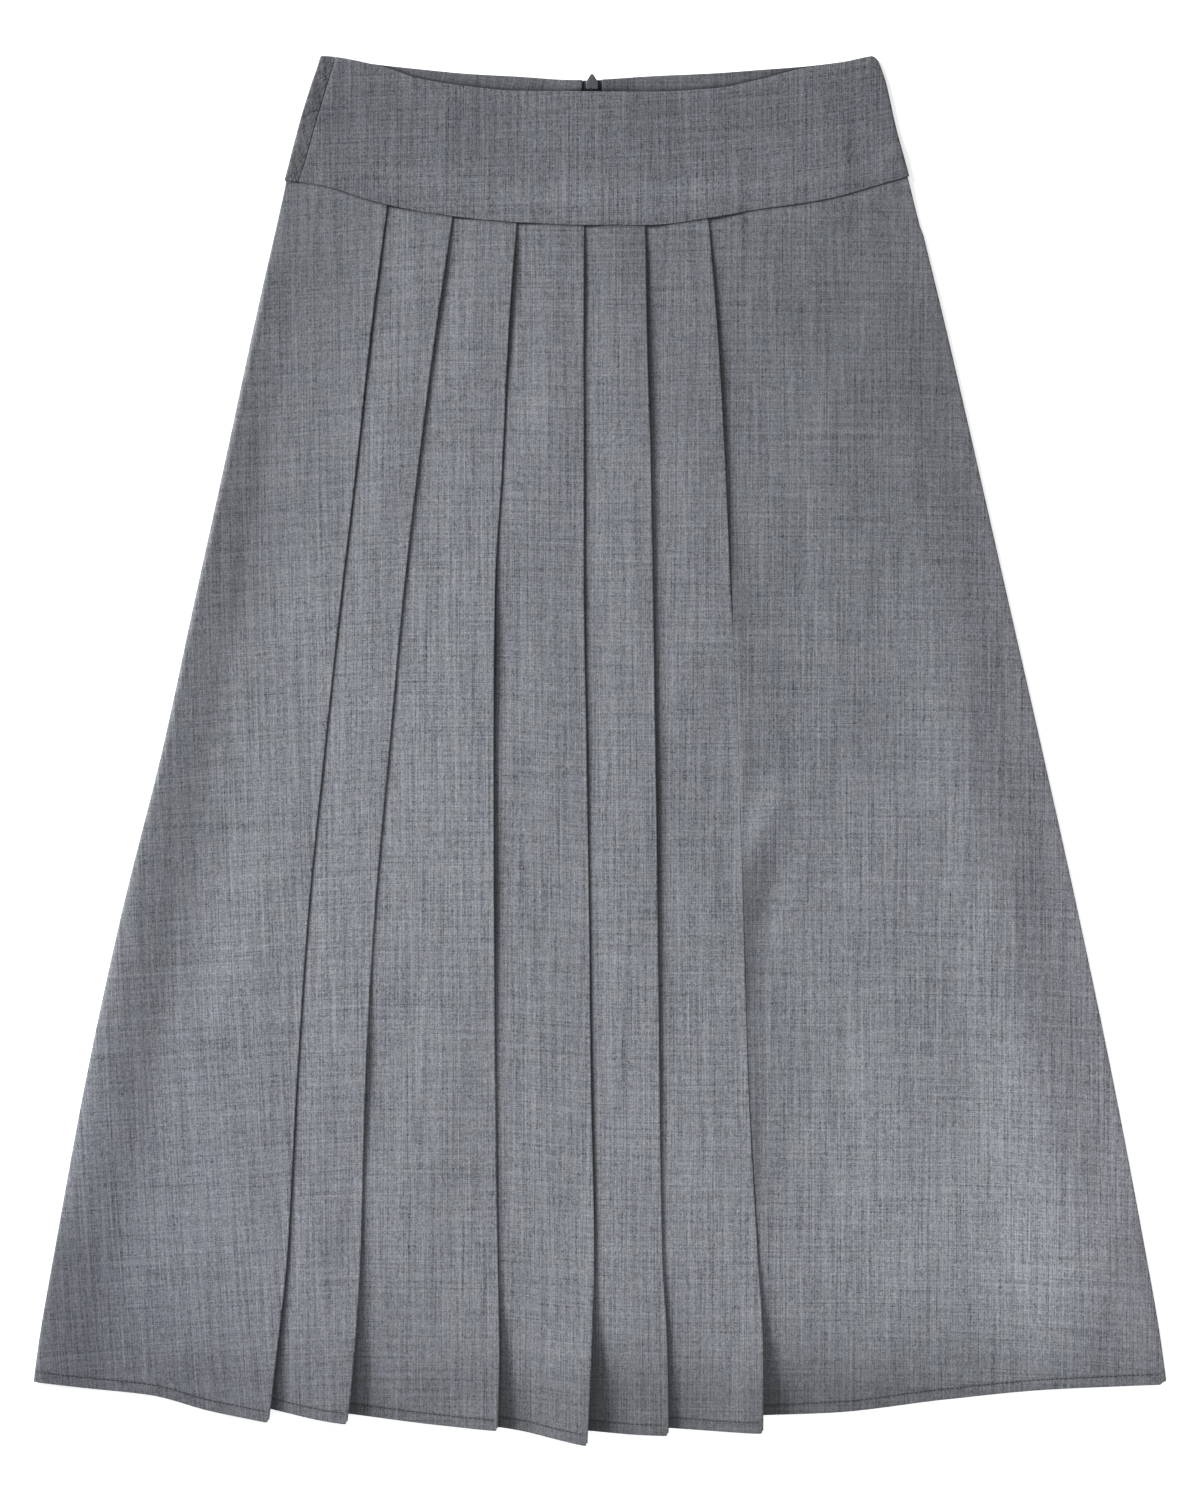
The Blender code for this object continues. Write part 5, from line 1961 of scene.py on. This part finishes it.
class Wiring:
    """Adds nodes to a shader's tree, each wired as it is added."""

    def __init__(self, tree: NodeTree) -> None:
        """Starts at the left of the tree."""
        self.tree = tree

    def add(self, kind: str, inputs: dict | None = None, **settings: object) -> bpy.types.Node:
        """Adds a node.

        Args:
            kind: The node's type, without its prefix.
            inputs: A value or another node's output for each input that isn't left as it is.
            **settings: The node's own options.

        Returns:
            The new node.
        """
        node = self.tree.nodes.new(f"ShaderNode{kind}")
        for name, value in settings.items():
            setattr(node, name, value)
        reach = 0.0
        for key, value in (inputs or {}).items():
            if isinstance(value, Socket):
                self.tree.links.new(value, node.inputs[key])
                reach = max(reach, value.node.location.x)
            else:
                node.inputs[key].default_value = value
        node.location = (reach + NODE_WIDTH, -NODE_HEIGHT * (len(self.tree.nodes) % NODE_ROWS))
        return node

    def surface(self, colour: Socket, roughness: Socket, height: Socket, relief: Pair) -> None:
        """Gives the material's shader its colour, its roughness and a bump with its strength and height."""
        bump = self.add("Bump", {"Strength": relief[0], "Distance": relief[1], "Height": height}).outputs[0]
        shader = self.tree.nodes[PRINCIPLED]
        for name, value in (("Base Color", colour), ("Roughness", roughness), ("Normal", bump)):
            self.tree.links.new(value, shader.inputs[name])

    def math(self, operation: str, first: object, second: object = 0.0) -> Socket:
        """Adds a sum on one or two numbers."""
        return self.add("Math", {0: first, 1: second}, operation=operation).outputs[0]

    def clouds(self, place: Socket, across: float, along: float, seed: float) -> Socket:
        """Noise from -0.5 to 0.5.

        Args:
            place: Where on the cloth or the piece, in metres.
            across: How many waves there are to the metre across.
            along: How many there are to the metre along.
            seed: Which noise.

        Returns:
            The noise.
        """
        far = (seed * SEED_STEPS[0], seed * SEED_STEPS[1], seed)
        settings = {"Vector": place, "Location": far, "Rotation": OBLIQUE, "Scale": (across, along, across)}
        moved = self.add("Mapping", settings).outputs[0]
        waves = {"Vector": moved, "Scale": 1.0, "Detail": 1.0, "Roughness": CLOUD_ROUGHNESS}
        noise = self.add("TexNoise", waves)
        return self.math("SUBTRACT", noise.outputs[0], 0.5)

    def yarns(self, grain: Socket, warp: bool, kind: Sequence[float]) -> Socket:
        """Noise that each yarn has of its own, and that drifts along it.

        Args:
            grain: The place on the flat cloth, in metres.
            warp: Whether the yarns run down the cloth.
            kind: How wide a yarn is, how many times it slubs to the metre, and its seed.

        Returns:
            The noise, from -0.5 to 0.5.
        """
        pitch, slubs, seed = kind
        steps = (pitch, FINE_STEP, 1.0) if warp else (FINE_STEP, pitch, 1.0)
        own = self.add("VectorMath", {0: grain, 1: steps}, operation="SNAP").outputs[0]
        scale = (YARN_STRIDE / pitch, slubs) if warp else (slubs, YARN_STRIDE / pitch)
        return self.clouds(own, *scale, seed)

    def total(self, *parts: tuple[float, Socket], base: float = 0.0) -> Socket:
        """The weighted sum of several values and a base."""
        result = base
        for weight, value in parts:
            result = self.add("Math", {0: value, 1: weight, 2: result}, operation="MULTIPLY_ADD").outputs[0]
        return result


def new_group(name: str, inputs: dict[str, tuple], outputs: dict[str, str]) -> NodeTree:
    """A shader node group.

    Args:
        name: The group's name.
        inputs: The type and the value of each input.
        outputs: The type of each output.

    Returns:
        The group, with its input and output nodes.
    """
    group = bpy.data.node_groups.new(name, "ShaderNodeTree")
    for label, (kind, value) in inputs.items():
        socket = group.interface.new_socket(label, in_out="INPUT", socket_type=f"NodeSocket{kind}")
        if value is not None:
            socket.default_value = value
    for label, kind in outputs.items():
        group.interface.new_socket(label, in_out="OUTPUT", socket_type=f"NodeSocket{kind}")
    group.nodes.new("NodeGroupInput").location.x = -NODE_WIDTH
    group.nodes.new("NodeGroupOutput").location.x = GROUP_WIDTH
    return group


def new_material(name: str, numbers: dict[str, float]) -> tuple[Material, Wiring]:
    """A new material with some uniform numbers on its shader's sockets, and its wiring."""
    made = bpy.data.materials.new(name)
    made.use_nodes = True
    for label, value in numbers.items():
        made.node_tree.nodes[PRINCIPLED].inputs[label].default_value = value
    return made, Wiring(made.node_tree)


def suiting_weave() -> NodeTree:
    """The plain weave of the suiting: slubbed yarns of mixed greys, crossed over and under."""
    inputs = {
        "Grain": ("Vector", None),
        "Cloth": ("Color", (0.2, 0.2, 0.2, 1.0)),
        "Contrast": ("Float", 1.0),
        "Bloom": ("Float", 0.5),
        "Tone": ("Vector", (1.0, 1.0, 1.0)),
    }
    group = new_group("Suiting weave", inputs, {"Colour": "Color", "Roughness": "Float", "Height": "Float"})
    given, made = group.nodes[0].outputs, group.nodes[1].inputs
    wiring = Wiring(group)
    grain = given["Grain"]
    yarns = [(weight, wiring.yarns(grain, True, kind)) for weight, *kind in WARP_YARNS]
    yarns += [(weight, wiring.yarns(grain, False, kind)) for weight, *kind in WEFT_YARNS]
    cell = wiring.add("VectorMath", {0: grain, 1: FLECK_SIZE}, operation="SNAP").outputs[0]
    fleck = wiring.math("SUBTRACT", wiring.add("TexWhiteNoise", {0: cell}).outputs[0], 0.5)
    tone = wiring.total(*yarns, (FLECK, fleck), (MOTTLE[0], wiring.clouds(grain, *MOTTLE[1:])))
    apart = wiring.add("SeparateXYZ", {0: grain}).outputs
    over = wiring.math("SINE", wiring.math("MULTIPLY", apart[0], math.pi / YARN_PITCH))
    under = wiring.math("SINE", wiring.math("MULTIPLY", apart[1], math.pi / YARN_PITCH))
    crossing = wiring.math("MULTIPLY", over, under)
    shade = wiring.total((1.0, tone), (CROSSING, crossing))
    shade = wiring.math("MULTIPLY", shade, given["Contrast"])
    shade = wiring.add("VectorMath", {0: GREY_SPREAD, 3: shade}, operation="SCALE").outputs[0]
    factor = wiring.add("VectorMath", {0: shade, 1: (1.0, 1.0, 1.0)}, operation="ADD").outputs[0]
    dyed = wiring.add("VectorMath", {0: given["Cloth"], 1: factor}, operation="MULTIPLY").outputs[0]
    dyed = wiring.add("VectorMath", {0: dyed, 1: given["Tone"]}, operation="MULTIPLY").outputs[0]
    places = {0: wiring.clouds(grain, *COOL_PLACES), 1: COOL_RANGE[0], 2: COOL_RANGE[1]}
    cool = wiring.add("MapRange", places, interpolation_type="SMOOTHSTEP")
    cool = wiring.math("MULTIPLY", cool.outputs[0], given["Bloom"])
    mixed = wiring.add("Mix", {0: cool, 6: dyed, 7: COOL_BLOOM}, data_type="RGBA", blend_type="MULTIPLY")
    group.links.new(mixed.outputs[2], made["Colour"])
    group.links.new(wiring.total((WEAVE_ROUGHNESS[0], tone), base=WEAVE_ROUGHNESS[1]), made["Roughness"])
    group.links.new(wiring.total((WEAVE_HEIGHT[0], tone), (WEAVE_HEIGHT[1], crossing)), made["Height"])
    return group


@dataclass(frozen=True)
class Suiting:
    """The suiting, as one piece was cut from it, or a darker copy of it that is painted shade."""

    name: str
    colour: Triple
    contrast: float = 1.0
    bloom: float = 0.3
    relief: Pair = (0.35, 0.00012)
    specular: float = 0.25
    sheen: float = 0.12
    sheen_roughness: float = 0.6

    def material(self, weave: NodeTree) -> Material:
        """Builds the material.

        Args:
            weave: The group of the weave.

        Returns:
            The new material.
        """
        sheen = {"Sheen Weight": self.sheen, "Sheen Roughness": self.sheen_roughness}
        made, wiring = new_material(self.name, {**sheen, "Specular IOR Level": self.specular})
        grain = wiring.add("UVMap", uv_map=GRAIN_MAP).outputs[0]
        cloth = wiring.add("Group", node_tree=weave)
        tone = wiring.add("Attribute", attribute_name=TONE).outputs["Vector"]
        for label, value in (("Grain", grain), ("Tone", tone)):
            made.node_tree.links.new(value, cloth.inputs[label])
        uniform = {"Cloth": (*self.colour, 1.0), "Contrast": self.contrast, "Bloom": self.bloom}
        for label, value in uniform.items():
            cloth.inputs[label].default_value = value
        wiring.surface(*cloth.outputs, self.relief)
        return made


@dataclass(frozen=True)
class Tape:
    """Woven zip tape: a fine close rib down its length."""

    name: str
    colour: Triple
    rib: float = 0.0006
    rib_tone: float = 0.18
    fluff: Distances = (1500.0, 400.0, 5.0)
    fluff_tone: float = 0.9
    fluff_roughness: float = 0.1
    roughness: float = 0.8
    relief: Pair = (0.4, 0.0001)
    specular: float = 0.3

    def material(self) -> Material:
        """Builds the material."""
        made, wiring = new_material(self.name, {"Specular IOR Level": self.specular})
        grain = wiring.add("UVMap", uv_map=GRAIN_MAP).outputs[0]
        apart = wiring.add("SeparateXYZ", {0: grain}).outputs
        rib = wiring.math("SINE", wiring.math("MULTIPLY", apart[0], math.tau / self.rib))
        fluff = wiring.clouds(grain, *self.fluff)
        factor = wiring.total((self.rib_tone, rib), (self.fluff_tone, fluff), base=1.0)
        colour = wiring.add("VectorMath", {0: self.colour, 3: factor}, operation="SCALE").outputs[0]
        rough = wiring.total((self.fluff_roughness, fluff), base=self.roughness)
        wiring.surface(colour, rough, rib, self.relief)
        return made


@dataclass(frozen=True)
class Moulded:
    """A hard finish, such as nylon, thread or enamelled metal, with a little unevenness."""

    name: str
    colour: Triple
    roughness: float
    metallic: float = 0.0
    grain_size: float = 0.0008
    uneven: float = 0.25
    broader: float = 0.12
    rougher: float = 0.3
    relief: Pair = (0.15, 0.0001)
    seeds: Distances = (2.0, 9.0)

    def material(self) -> Material:
        """Builds the material."""
        made, wiring = new_material(self.name, {"Metallic": self.metallic})
        place = wiring.add("TexCoord").outputs["Object"]
        waves = (1.0 / self.grain_size, self.broader / self.grain_size)
        fine, broad = (wiring.clouds(place, many, many, seed) for many, seed in zip(waves, self.seeds))
        uneven = wiring.total((self.uneven, fine), (self.uneven, broad), base=1.0)
        colour = wiring.add("VectorMath", {0: self.colour, 3: uneven}, operation="SCALE").outputs[0]
        rough = wiring.total((self.rougher * self.uneven, fine), base=self.roughness)
        wiring.surface(colour, rough, fine, self.relief)
        return made


@dataclass
class Studio:
    """The pale floor, the soft lights and the camera straight above."""

    floor_size: float = 16.0
    floor_colour: Triple = (0.9, 0.9, 0.9)
    floor_glow: float = 0.45
    surround: float = 0.37
    camera_height: float = 3.2
    view_length: float = 0.990
    sensor: float = 36.0
    reach: float = 20.0
    floor_gap: float = 0.0002
    surround_colour: Triple = (0.97, 0.985, 1.0)
    key: "SoftLight" = field(default_factory=lambda: SoftLight("SUN", (-3.0, 2.1, 1.63), 0.38, 6.6))
    fill: "SoftLight" = field(default_factory=lambda: SoftLight("AREA", (0.3, -1.25, 1.1), 0.7, 10.0))

    def build(self) -> None:
        """Builds the floor, the lights and the camera."""
        scene = bpy.context.scene
        scene.view_settings.view_transform = "Standard"
        half = self.floor_size / 2.0
        mesh = bpy.data.meshes.new("floor")
        corners = [(-half, -half, 0.0), (half, -half, 0.0), (half, half, 0.0), (-half, half, 0.0)]
        mesh.from_pydata(corners, [], [(0, 1, 2, 3)])
        pale = Moulded("pale_floor", self.floor_colour, 0.9, grain_size=0.01, uneven=0.01).material()
        shader = pale.node_tree.nodes[PRINCIPLED]
        shader.inputs["Emission Color"].default_value = (1.0, 1.0, 1.0, 1.0)
        shader.inputs["Emission Strength"].default_value = self.floor_glow
        mesh.materials.append(pale)
        floor = placed("floor", mesh)
        floor.location.z = -self.floor_gap
        floor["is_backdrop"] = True
        world = bpy.data.worlds.new("surround")
        world.use_nodes = True
        background = world.node_tree.nodes["Background"]
        background.inputs["Color"].default_value = (*self.surround_colour, 1.0)
        background.inputs["Strength"].default_value = self.surround
        scene.world = world
        for name, light in (("key", self.key), ("fill", self.fill)):
            light.build(name)
        data = bpy.data.cameras.new("camera")
        data.sensor_width = self.sensor
        data.lens = self.sensor * self.camera_height / self.view_length
        data.clip_end = self.reach
        scene.camera = placed("camera", data)
        scene.camera.location.z = self.camera_height


@dataclass(frozen=True)
class SoftLight:
    """A soft light that faces the middle of the skirt."""

    kind: str
    place: Triple
    size: float
    power: float

    def build(self, name: str) -> None:
        """Makes the light and turns it to the skirt.

        Args:
            name: The light's name. Its size is an angle if it is far away.
        """
        data = bpy.data.lights.new(name, self.kind)
        if self.kind == "SUN":
            data.angle = self.size
        else:
            data.size = self.size
        data.energy = self.power
        made = placed(name, data)
        made.location = self.place
        made.rotation_euler = (-Vector(self.place)).to_track_quat("-Z", "Y").to_euler()
        made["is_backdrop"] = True


def main() -> None:
    """Builds the skirt piece by piece, dresses it and sets up the studio."""
    logging.basicConfig(level=logging.INFO, format="%(name)s: %(message)s")
    plan = Plan()
    heights = Heights(plan)
    weave = suiting_weave()
    outside = Suiting("suiting", (0.1306, 0.1371, 0.1485)).material(weave)
    # The yoke, the back yoke and the facing have darker copies of the suiting: painted shade
    shaded_yoke_cloth = Suiting("suiting_yoke_painted_shade", (0.105, 0.11, 0.1202), 1.14, 0.4).material(weave)
    shaded_back_yoke_cloth = Suiting("suiting_back_yoke_painted_shade", (0.104, 0.109, 0.118), 1.35, 0.4).material(weave)
    inside = Suiting("suiting_facing_painted_shade", (0.086, 0.090, 0.098)).material(weave)
    tape = Tape("zip_tape", (0.030, 0.031, 0.035)).material()
    nylon = Moulded("zip_nylon", (0.024, 0.025, 0.028), 0.42).material()
    enamel = Moulded("grey_enamel", (0.082, 0.086, 0.096), 0.42, metallic=0.3, grain_size=0.0012).material()
    thread = Moulded("hem_thread", (0.018, 0.019, 0.024), 0.8, grain_size=0.0003, uneven=0.6).material()

    front = FrontPanel(plan, heights)
    dressed = [(front.build(), outside), (FrontYoke(plan, heights).build(), shaded_yoke_cloth)]
    backs = [BackPanel(plan, heights, side=side) for side in Side]
    for side, panel in zip(Side, backs):
        dressed.append((BackYoke(plan, heights, side=side).build(), shaded_back_yoke_cloth))
        dressed.append((panel.build(), outside))
        dressed.append((BackFacing(plan, heights, side=side).build(), inside))
        dressed.append((ZipTape(plan, heights, side=side).build(), tape))
    for kind, finish in ((ZipCoil, nylon), (ZipStop, enamel), (ZipSlider, enamel)):
        dressed.append((kind(plan, heights).build(), finish))
    dressed.append((ZipPull(plan, heights, Body.PULL).build(), enamel))
    stitches = HemStitches(plan, heights)
    dressed.append((stitches.build("hem_stitches_front", front.hem_lines()), thread))
    stitches = HemStitches(plan, heights, sunk=0.28, skin=-1)
    dressed.append((stitches.build("hem_stitches_back", [panel.hem_line() for panel in backs]), thread))
    for piece, finish in dressed:
        piece.data.materials.clear()
        piece.data.materials.append(finish)
    Studio().build()
    sizes = {"packed": CAD_BOX, "dressed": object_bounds()}
    {name: [list(corner) for corner in box] for name, box in sizes.items()}


if __name__ == "__main__":
    main()
